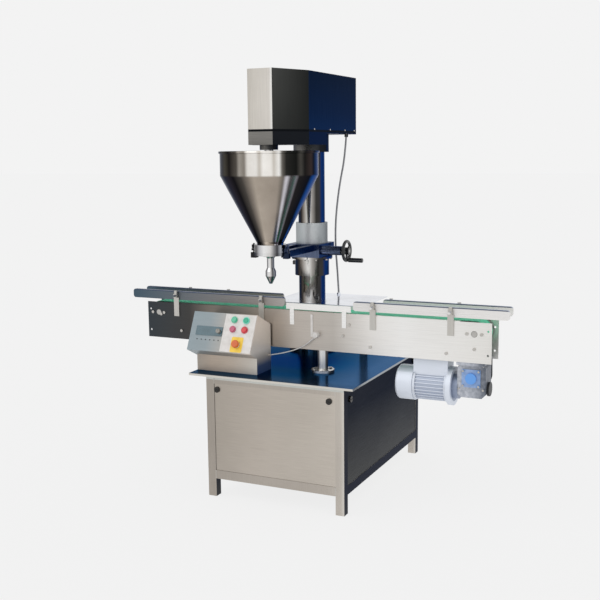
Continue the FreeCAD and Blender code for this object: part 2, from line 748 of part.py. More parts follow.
def drive_gearbox():
    """Worm gearbox, hung from the side plates, with its round bearing covers."""
    width, depth, height = GEAR_BODY
    top = GEAR_OUT_Z + GEAR_ABOVE
    body = block(GEAR_LEFT, GEAR_LEFT + width, GEAR_Y - depth / 2, GEAR_Y + depth / 2, top - height, top)
    vertical = [e for e in body.Edges if abs(e.BoundBox.YLength - depth) < 0.01]
    body = body.makeChamfer(GEAR_CORNER, vertical)
    hanger = block(GEAR_LEFT, GEAR_LEFT + width, PLATE_NEAR_Y + PLATE_T, PLATE_FAR_Y - PLATE_T,
                   top - PLATE_T, PLATE_LOW_Z + 2 * PLATE_T)
    face = GEAR_Y - depth / 2
    cover_x, cover_y, cover_z = GEAR_COVER
    cover = block(GEAR_X - cover_x / 2, GEAR_X + cover_x / 2, face - cover_y, face,
                  GEAR_OUT_Z - cover_z / 2, GEAR_OUT_Z + cover_z / 2)
    boss = rod(vec(GEAR_X, face - GEAR_BOSS, GEAR_OUT_Z), Y_AXIS, GEAR_BOSS_D, GEAR_BOSS)
    end_cap = rod(vec(GEAR_LEFT + width, GEAR_Y, MOTOR_Z), X_AXIS, GEAR_CAP_D, GEAR_CAP)
    shell = fuse([body, hanger, cover, boss, end_cap])
    bore = rod(vec(GEAR_X, GEAR_Y, GEAR_OUT_Z), Y_AXIS, GEAR_OUT_D + 2 * RUN, depth / 2)
    return shell.cut(bore)


def drive_sprocket():
    start = GEAR_Y + AIR
    shaft = rod(vec(GEAR_X, start, GEAR_OUT_Z), Y_AXIS, GEAR_OUT_D, SPROCKET_Y + CHAIN_W / 2 - start)
    return fuse([sprocket(GEAR_X, GEAR_OUT_Z, LOWER_TEETH, 0), shaft])


def chain_outline(grow):
    """Taut outline around both chain wheels, grown by the given amount, as a solid."""
    start = SPROCKET_Y - CHAIN_W / 2
    low = vec(GEAR_X, start, GEAR_OUT_Z)
    high = vec(DRIVE_X, start, ROLLER_Z)
    low_r = chain_radius(LOWER_TEETH) + grow
    high_r = chain_radius(UPPER_TEETH) + grow
    along = (high - low).normalize()
    across = along.cross(Y_AXIS)
    lean = math.asin((low_r - high_r) / (high - low).Length)
    corners = []
    for side in (1, -1):
        out = across * (side * math.cos(lean)) + along * math.sin(lean)
        pair = [low + out * low_r, high + out * high_r]
        corners += pair if side == 1 else pair[::-1]
    web = prism(corners, Y_AXIS * CHAIN_W)
    return fuse([rod(low, Y_AXIS, 2 * low_r, CHAIN_W), rod(high, Y_AXIS, 2 * high_r, CHAIN_W), web])


def drive_chain():
    return chain_outline(CHAIN_T / 2).cut(chain_outline(-CHAIN_T / 2))


# Supports --------------------------------------------------------------

def support_posts():
    """Two flanged round posts under the conveyor and a square post under the deck."""
    posts = []
    for x, y in POST_PLACES:
        post = rod(vec(x, y, TOP_Z), Z_AXIS, POST_D, PLATE_LOW_Z + 2 * PLATE_T - TOP_Z)
        foot = rod(vec(x, y, TOP_Z), Z_AXIS, POST_FLANGE_D, POST_FLANGE_T)
        head = block(x - POST_D, x + POST_D, PLATE_NEAR_Y + PLATE_T, PLATE_FAR_Y - PLATE_T,
                     PLATE_LOW_Z, PLATE_LOW_Z + 2 * PLATE_T)
        posts.append(fuse([post, foot, head]))
    half = DECK_POST / 2
    posts.append(block(DECK_POST_X - half, DECK_POST_X + half, DECK_POST_Y - half, DECK_POST_Y + half,
                       TOP_Z, DECK_Z - DECK_T))
    return group(posts)


def station_deck():
    """Bright plate behind the conveyor, with the column's hole and the cable's bush."""
    x0, x1 = DECK_ENDS_X
    plate = block(x0, x1, PLATE_FAR_Y, DECK_BACK_Y, DECK_Z - DECK_T, DECK_Z)
    ledge = block(x0, x1, PLATE_FAR_Y, PLATE_FAR_Y + DECK_T, DECK_Z - BED_FLANGE, DECK_Z)
    hole = rod(vec(COL_X, COL_Y, DECK_Z - DECK_T), Z_AXIS, COL_D + AIR, DECK_T)
    x, y, z = HEAD_CABLE[-1]
    last, before = vec(x, y, z), vec(*HEAD_CABLE[-2])
    bush = rod(last, (last - before).normalize(), GLAND_D, z - DECK_Z + DECK_T)
    return fuse([plate, ledge, bush]).cut(hole)


def column_foot():
    flange = rod(vec(COL_X, COL_Y, TOP_Z), Z_AXIS, COL_FOOT_D, COL_FOOT_T)
    socket = rod(vec(COL_X, COL_Y, TOP_Z), Z_AXIS, COL_D + 2 * COL_WALL, 3 * COL_FOOT_T)
    return fuse([flange, socket]).cut(rod(vec(COL_X, COL_Y, TOP_Z), Z_AXIS, COL_D, 3 * COL_FOOT_T))


def frame_bolts():
    """Hex-head bolts of the column foot, the post flanges and the conveyor plates."""
    heads = []
    middle_r = (COL_FOOT_D + COL_D + 2 * COL_WALL) / 4
    for n in range(COL_FOOT_BOLTS):
        angle = 2 * math.pi * n / COL_FOOT_BOLTS
        place = vec(COL_X + middle_r * math.cos(angle), COL_Y + middle_r * math.sin(angle), TOP_Z + COL_FOOT_T)
        heads.append(hex_head(place, Z_AXIS))
    post_r = (POST_FLANGE_D + POST_D) / 4
    for x, y in POST_PLACES:
        for n in range(POST_BOLTS):
            angle = 2 * math.pi * (n + 0.5) / POST_BOLTS
            place = vec(x + post_r * math.cos(angle), y + post_r * math.sin(angle), TOP_Z + POST_FLANGE_T)
            heads.append(hex_head(place, Z_AXIS))
    bearing_bolt = BEARING_D / 2
    sides = [(x + s * bearing_bolt, ROLLER_Z) for x in roller_places() for s in (-1, 1)]
    for x, z in (*PLATE_BOLTS, *sides):
        heads.append(hex_head(vec(x, PLATE_NEAR_Y, z), -Y_AXIS))
        heads.append(hex_head(vec(x, PLATE_FAR_Y, z), Y_AXIS))
    return group(heads)


def hex_head(place, axis):
    across = BOLT_HEAD_D / 2 / math.cos(math.pi / 6)
    side = axis.cross(X_AXIS)
    points = []
    for n in range(6):
        angle = math.pi * n / 3
        points.append(place + X_AXIS * (across * math.cos(angle)) + side * (across * math.sin(angle)))
    return prism(points, axis * BOLT_HEAD)


# Column and lift -------------------------------------------------------

def rack_cutter():
    """Tooth spaces of the rack, with one centred on the pinion."""
    pitch = math.pi * GEAR_MODULE
    slope = math.tan(math.radians(PRESSURE_ANGLE))
    half = pitch / 4 + BACKLASH / 2
    tip, root = GEAR_MODULE, DEDENDUM * GEAR_MODULE
    first = math.ceil((RACK_LOW_Z - PINION_Z) / pitch)
    last = math.floor((RACK_TOP_Z - PINION_Z) / pitch)
    spaces = []
    for n in range(first, last + 1):
        z = PINION_Z + (n + 0.5) * pitch
        pitch_y = RACK_Y + tip
        wide = half + slope * (tip + CLEAR)
        thin = half - slope * root
        points = [vec(COL_X - RACK_WIDTH / 2, y, z + s) for y, s in (
            (pitch_y - tip - CLEAR, -wide), (pitch_y - tip - CLEAR, wide),
            (pitch_y + root, thin), (pitch_y + root, -thin))]
        spaces.append(prism(points, X_AXIS * RACK_WIDTH))
    return spaces


def lower_column():
    """Fixed column: a tube, its slimmer guide above the shoulder, and the rack in its front."""
    tube = rod(vec(COL_X, COL_Y, TOP_Z), Z_AXIS, COL_D, COL_SHOULDER_Z - TOP_Z)
    guide = rod(vec(COL_X, COL_Y, COL_SHOULDER_Z), Z_AXIS, COL_GUIDE_D, COL_GUIDE_TOP_Z - COL_SHOULDER_Z)
    bore = rod(vec(COL_X, COL_Y, TOP_Z), Z_AXIS, COL_GUIDE_D - 4 * COL_WALL, COL_GUIDE_TOP_Z - TOP_Z)
    half = RACK_WIDTH / 2
    slot = block(COL_X - half, COL_X + half, COL_Y - COL_D, RACK_Y, RACK_LOW_Z, RACK_TOP_Z)
    return fuse([tube, guide]).cut(bore).cut(slot).cut(rack_cutter())


def lift_sleeve():
    """Sleeve that slides on the lower column, with the flange that carries the lift block."""
    body = rod(vec(COL_X, COL_Y, SLEEVE_LOW_Z), Z_AXIS, SLEEVE_D, LIFT_FLANGE_Z - SLEEVE_LOW_Z)
    flange = rod(vec(COL_X, COL_Y, LIFT_FLANGE_Z), Z_AXIS, LIFT_FLANGE_D, LIFT_FLANGE_T)
    bore = rod(vec(COL_X, COL_Y, SLEEVE_LOW_Z), Z_AXIS, COL_D + 2 * RUN, LIFT_BLOCK_Z - SLEEVE_LOW_Z)
    screw = rod(vec(COL_X - SLEEVE_D, COL_Y, CLAMP_SCREW_Z), X_AXIS, CLAMP_SCREW_D + 2 * RUN, SLEEVE_D)
    return fuse([body, flange]).cut(bore).cut(screw)


def clamp_screw():
    """Screw that locks the sleeve to the column, with a knurled head."""
    inner_x = COL_X - COL_D / 2 - CLEAR
    outer_x = COL_X - SLEEVE_D / 2 - CLAMP_SHOULDER
    shank = rod(vec(outer_x, COL_Y, CLAMP_SCREW_Z), X_AXIS, CLAMP_SCREW_D, inner_x - outer_x - AIR)
    head = rod(vec(outer_x - CLAMP_HEAD, COL_Y, CLAMP_SCREW_Z), X_AXIS, CLAMP_HEAD_D, CLAMP_HEAD)
    half = CLAMP_HEAD_D / 2
    flats = []
    for side in (-1, 1):
        y0, y1 = sorted((COL_Y + side * CLAMP_HEAD_FLAT, COL_Y + side * half))
        flats.append(block(outer_x - CLAMP_HEAD, outer_x, y0, y1, CLAMP_SCREW_Z - half, CLAMP_SCREW_Z + half))
    return fuse([shank, head]).cut(flats)


def swing_lug(side):
    """Forked lug beside the ring, with the pin that a swing bolt turns on."""
    x = COL_X + side * SWING_X
    low, high = SWING_PIVOT_Z - LUG_BELOW, RING_TOP_Z - LUG_DROP
    x0, x1 = sorted((COL_X, x + side * LUG_END))
    lug = block(x0, x1, FILL_Y - LUG_HALF, FILL_Y + LUG_HALF, low, high)
    half = SWING_BOLT_D / 2 + CLEAR
    reach = LUG_END + AIR
    fork = block(x - reach, x + reach, FILL_Y - half, FILL_Y + half, low, high)
    middle = rod(vec(COL_X, FILL_Y, low), Z_AXIS, RING_D - 2 * LUG_DROP, high - low)
    pin = rod(vec(x, FILL_Y - LUG_HALF, SWING_PIVOT_Z), Y_AXIS, SWING_PIN_D, 2 * LUG_HALF)
    return fuse([lug.cut([fork, middle]), pin])


def lift_bracket():
    """Lift block around the column, hopper arms and ring in front, handwheel arm to the side."""
    body = block(COL_X - BLOCK_HALF, COL_X + BLOCK_HALF, COL_Y - BLOCK_FRONT, COL_Y + BLOCK_BACK,
                 LIFT_BLOCK_Z, BLOCK_TOP_Z)
    solids = [body]
    for side in (-1, 1):
        x = COL_X + side * ARM_SPACING / 2
        arm_top = RING_TOP_Z
        solids.append(block(x - ARM_WIDTH / 2, x + ARM_WIDTH / 2, FILL_Y + RING_D / 2 - ARM_DEPTH,
                            COL_Y - BLOCK_FRONT, arm_top - ARM_DEPTH, arm_top))
        solids.append(swing_lug(side))
    solids.append(rod(vec(COL_X, FILL_Y, RING_Z), Z_AXIS, RING_D, RING_T))
    arm_x = COL_X + BLOCK_HALF
    solids.append(rod(vec(arm_x, PINION_Y, PINION_Z), X_AXIS, ARM_D, ARM_END_X - arm_x))
    bracket = fuse(solids)
    bore = rod(vec(COL_X, COL_Y, LIFT_BLOCK_Z), Z_AXIS, COL_D + AIR, BLOCK_TOP_Z - LIFT_BLOCK_Z)
    ring_bore = rod(vec(COL_X, FILL_Y, RING_Z - RING_T), Z_AXIS, 2 * (CONE_R + AIR), 2 * RING_T)
    pocket = rod(vec(COL_X - PINION_WIDTH / 2 - AIR, PINION_Y, PINION_Z), X_AXIS,
                 2 * (PINION_R + 2 * GEAR_MODULE), PINION_WIDTH + 2 * AIR)
    shaft_start = COL_X - PINION_WIDTH
    shaft = rod(vec(shaft_start - CLEAR, PINION_Y, PINION_Z), X_AXIS,
                SHAFT_D + 2 * RUN, ARM_END_X - shaft_start + AIR)
    return bracket.cut([bore, ring_bore, pocket, shaft])


def lift_collar():
    """Aluminium collar that joins the lift block to the upper column."""
    height = COLLAR_TOP_Z - BLOCK_TOP_Z
    body = rod(vec(COL_X, COL_Y, BLOCK_TOP_Z), Z_AXIS, COLLAR_D, height)
    wide = rod(vec(COL_X, COL_Y, BLOCK_TOP_Z), Z_AXIS, COL_D + AIR, COLLAR_SEAT_Z - BLOCK_TOP_Z)
    seat = rod(vec(COL_X, COL_Y, COLLAR_SEAT_Z), Z_AXIS, COL_D, COLLAR_TOP_Z - COLLAR_SEAT_Z)
    return body.cut([wide, seat])


def upper_column():
    height = HEAD_PLATE_Z - COLLAR_SEAT_Z
    return ring(vec(COL_X, COL_Y, COLLAR_SEAT_Z), Z_AXIS, COL_D, COL_GUIDE_D + 2 * RUN, height)


def pinion_outline():
    """Involute tooth outline of the pinion as (angle, radius) pairs, a tooth on angle 0."""
    pressure = math.radians(PRESSURE_ANGLE)
    base_r = PINION_R * math.cos(pressure)
    root_r = PINION_R - DEDENDUM * GEAR_MODULE
    tip_r = PINION_R + GEAR_MODULE
    thick = math.pi / 2 / PINION_TEETH - BACKLASH / 2 / PINION_R
    at_pitch = math.tan(pressure) - pressure
    flank = []
    for step in range(FLANK_STEPS + 1):
        r = base_r + (tip_r - base_r) * step / FLANK_STEPS
        roll = math.sqrt(max(r * r / base_r / base_r - 1, 0))
        flank.append((thick + at_pitch - (roll - math.atan(roll)), r))
    outline = []
    for n in range(PINION_TEETH):
        middle = 2 * math.pi * n / PINION_TEETH
        outline.append((middle - flank[0][0], root_r))
        outline += [(middle - a, r) for a, r in flank]
        outline += [(middle + a, r) for a, r in reversed(flank)]
        outline.append((middle + flank[0][0], root_r))
    return outline


def pinion_shaft():
    """Shaft along X with the pinion that climbs the rack."""
    left = COL_X - PINION_WIDTH / 2
    half_tooth = math.pi / PINION_TEETH
    points = [vec(left, PINION_Y + r * math.cos(a + half_tooth), PINION_Z + r * math.sin(a + half_tooth))
              for a, r in pinion_outline()]
    pinion = prism(points, X_AXIS * PINION_WIDTH)
    start = COL_X - PINION_WIDTH
    shaft = rod(vec(start, PINION_Y, PINION_Z), X_AXIS, SHAFT_D, WHEEL_X + WHEEL_RIM_D - start)
    return fuse([pinion, shaft])


def handwheel():
    """Spoked handwheel; its lowest spoke carries the crank pin."""
    rim_r = (WHEEL_D - WHEEL_RIM_D) / 2
    rim = Part.makeTorus(rim_r, WHEEL_RIM_D / 2, vec(WHEEL_X, PINION_Y, PINION_Z), X_AXIS)
    hub_x = ARM_END_X + AIR
    hub = rod(vec(hub_x, PINION_Y, PINION_Z), X_AXIS, WHEEL_HUB_D, WHEEL_X + WHEEL_RIM_D - hub_x)
    spokes = []
    for n in range(WHEEL_SPOKES):
        spoke = rod(vec(WHEEL_X, PINION_Y, PINION_Z), -Z_AXIS, WHEEL_SPOKE_D, rim_r)
        spoke.rotate(vec(WHEEL_X, PINION_Y, PINION_Z), X_AXIS, 360 * n / WHEEL_SPOKES)
        spokes.append(spoke)
    pin = rod(vec(WHEEL_X, PINION_Y, PINION_Z - GRIP_FROM_AXIS), X_AXIS,
              GRIP_PIN_D, WHEEL_RIM_D / 2 + GRIP_LENGTH)
    wheel = fuse([rim, hub, *spokes, pin])
    shaft = rod(vec(hub_x, PINION_Y, PINION_Z), X_AXIS, SHAFT_D, WHEEL_X + WHEEL_RIM_D - hub_x)
    return wheel.cut(shaft)


def crank_grip():
    """Grip that spins on the handwheel's crank pin."""
    start = WHEEL_X + WHEEL_RIM_D / 2 + AIR
    place = vec(start, PINION_Y, PINION_Z - GRIP_FROM_AXIS)
    grip = rod(place, X_AXIS, GRIP_D, GRIP_LENGTH + 2 * AIR)
    ends = [e for e in grip.Edges if e.BoundBox.XLength < 0.01]
    grip = grip.makeFillet(GRIP_ROUND, ends)
    return grip.cut(rod(place, X_AXIS, GRIP_PIN_D + 2 * RUN, GRIP_LENGTH - AIR + CLEAR))


# Hopper, spout and auger -----------------------------------------------

def hopper():
    """Turned sheet hopper with a rolled rim and a bottom flange."""
    wall = HOPPER_WALL
    low = SPOUT_TOP_Z
    outer = [(FLANGE_R, low), (FLANGE_R, low + FLANGE_T), (NECK_R, low + FLANGE_T), (NECK_R, NECK_Z),
             (HOPPER_R, HOPPER_KINK_Z), (HOPPER_R, HOPPER_RIM_Z)]
    inner = [(r - wall, z) for r, z in ((HOPPER_R, HOPPER_RIM_Z), (HOPPER_R, HOPPER_KINK_Z),
                                        (NECK_R, NECK_Z), (NECK_R, low))]
    body = turned([*outer, *inner], COL_X, FILL_Y)
    bead = Part.makeTorus(HOPPER_R, RIM_BEAD, vec(COL_X, FILL_Y, HOPPER_RIM_Z - RIM_BEAD), Z_AXIS)
    bead = bead.cut(rod(vec(COL_X, FILL_Y, HOPPER_RIM_Z - 2 * RIM_BEAD), Z_AXIS,
                        2 * (HOPPER_R - wall), 2 * RIM_BEAD))
    return fuse([body, bead])


def hopper_clamp():
    """Clamp ring over the hopper and spout flanges, with slotted ears for the swing bolts."""
    low = RING_TOP_Z
    step = SPOUT_TOP_Z + FLANGE_T
    body = rod(vec(COL_X, FILL_Y, low), Z_AXIS, RING_D, CLAMP_TOP_Z - low)
    reach = SWING_X + EAR_END
    ears = block(COL_X - reach, COL_X + reach, FILL_Y - EAR_HALF, FILL_Y + EAR_HALF,
                 low + EAR_LOW, low + EAR_LOW + EAR_T)
    wide = rod(vec(COL_X, FILL_Y, low), Z_AXIS, 2 * FLANGE_R + 2 * RUN, step - low)
    thin = rod(vec(COL_X, FILL_Y, step), Z_AXIS, 2 * NECK_R + AIR, CLAMP_TOP_Z - step)
    slots = []
    for side in (-1, 1):
        x = COL_X + side * SWING_X
        half = SWING_BOLT_D / 2 + SLOT_AIR
        x0, x1 = sorted((x - side * half, x + side * 2 * EAR_END))
        slots.append(block(x0, x1, FILL_Y - half, FILL_Y + half, low, low + EAR_LOW + EAR_T))
    return fuse([body, ears]).cut([wide, thin, *slots])


def swing_bolt(side):
    """Eye bolt with a wing nut that swings out of the clamp's ear."""
    x = COL_X + side * SWING_X
    nut_z = RING_TOP_Z + EAR_LOW + EAR_T + SWING_NUT_GAP
    eye = rod(vec(x, FILL_Y - SWING_BOLT_D / 2, SWING_PIVOT_Z), Y_AXIS, SWING_EYE_D, SWING_BOLT_D)
    top_z = nut_z + SWING_SHANK_TOP
    shank = rod(vec(x, FILL_Y, SWING_PIVOT_Z), Z_AXIS, SWING_BOLT_D, top_z - SWING_PIVOT_Z)
    nut = rod(vec(x, FILL_Y, nut_z), Z_AXIS, SWING_NUT_D, SWING_NUT)
    wings = block(x - WING_T / 2, x + WING_T / 2, FILL_Y - WING_SPAN / 2, FILL_Y + WING_SPAN / 2,
                  nut_z + WING_LOW, nut_z + WING_TOP)
    eye_hole = rod(vec(x, FILL_Y - SWING_BOLT_D / 2, SWING_PIVOT_Z), Y_AXIS,
                   SWING_PIN_D + 2 * RUN, SWING_BOLT_D)
    return fuse([eye, shank, nut, wings]).cut(eye_hole)


def spout():
    """Filling tube: flange, cone, tube and the round nozzle with its tip."""
    low = RING_TOP_Z
    wall = TUBE_R - TUBE_BORE_R
    outer = [(FLANGE_R, SPOUT_TOP_Z), (FLANGE_R, low), (CONE_R, low), (TUBE_R, CONE_LOW_Z),
             (TUBE_R, TUBE_LOW_Z), (BULGE_R, BULGE_TOP_Z), (BULGE_R, BULGE_LOW_Z), (TIP_R, TIP_Z)]
    inner = [(TIP_R - TIP_WALL, TIP_Z), (BULGE_R - wall, BULGE_LOW_Z), (BULGE_R - wall, BULGE_TOP_Z),
             (TUBE_BORE_R, TUBE_LOW_Z), (TUBE_BORE_R, CONE_LOW_Z + wall), (CONE_R - 2 * wall, low),
             (SPOUT_MOUTH_R, SPOUT_TOP_Z)]
    return turned([*outer, *inner], COL_X, FILL_Y)


def auger():
    """Auger: drive shaft down through the hopper, and the screw inside the spout."""
    top = SERVO_Z + AUGER_SEAT
    shaft = rod(vec(COL_X, FILL_Y, AUGER_FLIGHT_TOP_Z), Z_AXIS, AUGER_SHAFT_D, top - AUGER_FLIGHT_TOP_Z)
    core = rod(vec(COL_X, FILL_Y, AUGER_LOW_Z), Z_AXIS, AUGER_CORE_D, AUGER_FLIGHT_TOP_Z - AUGER_LOW_Z)
    height = AUGER_FLIGHT_TOP_Z - AUGER_LOW_Z - 2 * FLIGHT_END
    inner_r = AUGER_CORE_D / 2 - FLIGHT_ROOT
    half = FLIGHT_T / 2
    helix = Part.makeHelix(AUGER_PITCH, height, AUGER_FLIGHT_R)
    corners = [vec(AUGER_FLIGHT_R, 0, -half), vec(AUGER_FLIGHT_R, 0, half),
               vec(inner_r, 0, half), vec(inner_r, 0, -half)]
    profile = Part.makePolygon([*corners, corners[0]])
    flight = Part.Wire(helix).makePipeShell([profile], True, True)
    flight.translate(vec(COL_X, FILL_Y, AUGER_LOW_Z + FLIGHT_END))
    return fuse([shaft, core, flight])


def agitator():
    """Hollow agitator shaft around the auger, with two blades that sweep the hopper wall."""
    top = SERVO_Z - CLEAR
    shaft = rod(vec(COL_X, FILL_Y, AGITATOR_LOW_Z), Z_AXIS, AGITATOR_D, top - AGITATOR_LOW_Z)
    inside = HOPPER_R - HOPPER_WALL - BLADE_GAP
    foot = NECK_R - HOPPER_WALL - BLADE_GAP
    foot_r = foot + (BLADE_FOOT_Z - NECK_Z) * (HOPPER_R - NECK_R) / (HOPPER_KINK_Z - NECK_Z)
    arm_z = AGITATOR_LOW_Z + BLADE_WIDTH
    solids = [shaft]
    for side in (-1, 1):
        outline = [(0, arm_z), (inside, arm_z), (inside, HOPPER_KINK_Z - BLADE_GAP), (foot_r, BLADE_FOOT_Z),
                   (foot_r - BLADE_WIDTH, BLADE_FOOT_Z), (inside - BLADE_WIDTH - BLADE_ROOT, AGITATOR_LOW_Z),
                   (0, AGITATOR_LOW_Z)]
        points = [vec(COL_X + side * r, FILL_Y - BLADE_T / 2, z) for r, z in outline]
        solids.append(prism(points, Y_AXIS * BLADE_T))
    bore = rod(vec(COL_X, FILL_Y, BLADE_FOOT_Z), Z_AXIS, AUGER_SHAFT_D + 2 * AIR, top - BLADE_FOOT_Z)
    return fuse(solids).cut(bore)


# Head ------------------------------------------------------------------

def head_plan(inset, back_y):
    """Plan outline of the head: narrow nose, slanted cheeks, straight sides."""
    half = HEAD_WIDTH / 2 - inset
    slant = math.hypot(HEAD_KINK_Y - HEAD_FRONT_Y, (HEAD_WIDTH - HEAD_NOSE) / 2)
    lean = (HEAD_WIDTH - HEAD_NOSE) / 2 / slant
    rise = (HEAD_KINK_Y - HEAD_FRONT_Y) / slant
    front = HEAD_FRONT_Y + inset
    nose = HEAD_NOSE / 2 - inset * (1 - lean) / rise
    kink = HEAD_KINK_Y + inset * (1 - rise) / lean
    right = [(nose, front), (half, kink), (half, back_y - inset)]
    return [*right, *[(-x, y) for x, y in reversed(right)]]


def head_prism(inset, back_y, z0, z1):
    points = [vec(COL_X + x, y, z0) for x, y in head_plan(inset, back_y)]
    return prism(points, Z_AXIS * (z1 - z0))


def head_base():
    """Head base: deck plate, hollow nose box, column boss and spindle housing."""
    plate = head_prism(0, HEAD_BACK_Y, HEAD_PLATE_Z, HEAD_DECK_Z)
    nose = head_prism(0, HEAD_BOX_BACK_Y, HEAD_LOW_Z, HEAD_PLATE_Z)
    hollow = head_prism(HEAD_WALL, HEAD_BOX_BACK_Y, HEAD_LOW_Z + HEAD_WALL, HEAD_PLATE_Z)
    boss = rod(vec(COL_X, COL_Y, HEAD_BOSS_LOW_Z), Z_AXIS, HEAD_BOSS_D, HEAD_PLATE_Z - HEAD_BOSS_LOW_Z)
    half = HEAD_BOSS_D / 2 - BOSS_SHRINK
    web = block(COL_X - half, COL_X + half, HEAD_BOX_BACK_Y - HEAD_WALL, COL_Y, HEAD_LOW_Z, HEAD_PLATE_Z)
    spindle = rod(vec(COL_X, FILL_Y, SPINDLE_LOW_Z), Z_AXIS, SPINDLE_D, HEAD_PLATE_Z - SPINDLE_LOW_Z)
    first, second = (vec(*p) for p in HEAD_CABLE[:2])
    gland = rod(first, (first - second).normalize(), GLAND_D, HEAD_PLATE_Z + HEAD_PLATE_T / 2 - first.z)
    column = rod(vec(COL_X, COL_Y, HEAD_BOSS_LOW_Z), Z_AXIS, COL_D, HEAD_PLATE_Z - HEAD_BOSS_LOW_Z)
    bore = rod(vec(COL_X, FILL_Y, SPINDLE_LOW_Z), Z_AXIS, AGITATOR_D + 2 * RUN, HEAD_DECK_Z - SPINDLE_LOW_Z)
    box = nose.cut(hollow)
    return fuse([plate, box, boss, web, spindle, gland]).cut([column, bore])


def head_cover():
    """Tall sheet cover, open below."""
    outer = head_prism(0, HEAD_BACK_Y, HEAD_DECK_Z, HEAD_TOP_Z)
    return outer.cut(head_prism(COVER_T, HEAD_BACK_Y, HEAD_DECK_Z, HEAD_TOP_Z - COVER_T))


def agitator_motor():
    """Hollow-bore gearbox around the spindle, with its motor lying to the back."""
    width, depth, height = GEARBOX
    box = block(COL_X - width / 2, COL_X + width / 2, FILL_Y - depth / 2, FILL_Y + depth / 2,
                HEAD_DECK_Z, SERVO_Z)
    middle = HEAD_DECK_Z + max(height, AGITATOR_MOTOR_D) / 2
    motor = rod(vec(COL_X, FILL_Y + depth / 2, middle), Y_AXIS, AGITATOR_MOTOR_D, AGITATOR_MOTOR)
    bore = rod(vec(COL_X, FILL_Y, HEAD_DECK_Z), Z_AXIS, AGITATOR_D + 2 * RUN, height)
    return fuse([box, motor]).cut(bore)


def auger_motor():
    """Servo motor that stands on the agitator gearbox and drives the auger's shaft."""
    half = SERVO / 2
    edge = half + SERVO_FLANGE_EDGE
    flange = block(COL_X - edge, COL_X + edge, FILL_Y - edge, FILL_Y + edge,
                   SERVO_Z, SERVO_Z + SERVO_FLANGE_T)
    body = block(COL_X - half, COL_X + half, FILL_Y - half, FILL_Y + half, SERVO_Z, SERVO_Z + SERVO_HEIGHT)
    bore = rod(vec(COL_X, FILL_Y, SERVO_Z), Z_AXIS, AUGER_SHAFT_D + 2 * RUN, AUGER_SEAT + CLEAR)
    return fuse([flange, body]).cut(bore)


# Console ---------------------------------------------------------------

def face_placement():
    """Face frame: X along the console, Y up the slanted face, Z out of it, origin at the lip."""
    return FreeCAD.Placement(vec(0, LIP_Y, LIP_Z), FreeCAD.Rotation(X_AXIS, FACE_ANGLE))


def on_face(shape):
    shape.Placement = face_placement().multiply(shape.Placement)
    return shape


def console_outline(inset, foot):
    """Side outline in (Y, Z): the slanted housing, or with foot the console down to the table."""
    angle = math.radians(FACE_ANGLE)
    fall = 1 / math.tan(angle)
    ridge_y = LIP_Y + FACE_LENGTH * math.cos(angle)
    ridge_z = LIP_Z + FACE_LENGTH * math.sin(angle)
    across = inset * (math.sin(angle) + math.cos(angle))
    lift = inset * (math.sin(angle) - math.cos(angle))
    back = CONSOLE_BACK_Y - inset
    back_z = ridge_z - inset / math.sin(angle) - (back - ridge_y) * fall
    low_y, low_z = LIP_Y + across, LIP_Z + lift
    top = [(low_y, low_z), (ridge_y + lift, ridge_z - across), (back, back_z)]
    if not foot:
        return [*top, (back, low_z - (back - low_y) * fall)]
    front = CONSOLE_FOOT_Y + inset
    return [*top, (back, TOP_Z), (front, TOP_Z), (front, low_z - (front - low_y) * fall)]


def console_prism(inset):
    shapes = []
    for left, foot in ((CONSOLE_LEFT, False), (CONSOLE_BODY_LEFT, True)):
        points = [vec(left + inset, y, z) for y, z in console_outline(inset, foot)]
        shapes.append(prism(points, X_AXIS * (CONSOLE_RIGHT - left - 2 * inset)))
    return fuse(shapes)


def console_box():
    """Sheet console with its cut-outs and the sensor cable's gland."""
    end = vec(*SENSOR_CABLE[-1])
    into = (end - vec(*SENSOR_CABLE[-2])).normalize()
    gland = rod(end, into, SENSOR_GLAND_D, (CONSOLE_RIGHT - CONSOLE_WALL - end.x) / into.x)
    shell = console_prism(0).cut(console_prism(CONSOLE_WALL))
    return fuse([shell, gland]).cut(face_holes(-CONSOLE_WALL - AIR, AIR))


def face_holes(z0, z1):
    """Cutters for everything that passes through the face."""
    holes = []
    for x, y, diameter in hole_places():
        holes.append(on_face(rod(vec(x, y, z0), Z_AXIS, diameter, z1 - z0)))
    holes.append(on_face(display_body(z0, z1)))
    y = (DISPLAY[2] + DISPLAY[3]) / 2
    holes.append(on_face(rod(vec(KNOB_X, y, z0), Z_AXIS, KNOB_SHAFT_D + 2 * AIR, z1 - z0)))
    return holes


def display_body(z0, z1):
    x0, x1, y0, y1 = DISPLAY
    edge = DISPLAY_EDGE
    return block(x0 + edge, x1 - DISPLAY_KNOB_BAY, y0 + edge, y1 - edge, z0, z1)


def hole_places():
    buttons = [(BUTTON_X, row, STEM_D + 2 * RUN) for row in (UPPER_ROW, LOWER_ROW)]
    lamps = [(LAMP_X, row, STEM_D) for row in (UPPER_ROW, LOWER_ROW)]
    return [*buttons, *lamps, (*STOP_PLACE, STOP_STEM_D + 2 * RUN)]


def console_plate():
    """White switch plate with the bezels of the push buttons and of the emergency stop."""
    x0, x1, y0, y1 = WHITE_PLATE
    plate = on_face(block(x0, x1, y0, y1, 0, WHITE_PLATE_T)).cut(face_holes(0, WHITE_PLATE_T))
    bezels = []
    for row in (UPPER_ROW, LOWER_ROW):
        bezels.append(ring(vec(BUTTON_X, row, WHITE_PLATE_T), Z_AXIS, BEZEL_D, CAP_D + 2 * CLEAR, BEZEL))
    bezels.append(ring(vec(*STOP_PLACE, WHITE_PLATE_T), Z_AXIS, BEZEL_D, STOP_STEM_D + 2 * CLEAR, BEZEL / 2))
    return group([plate, *[on_face(b) for b in bezels]])


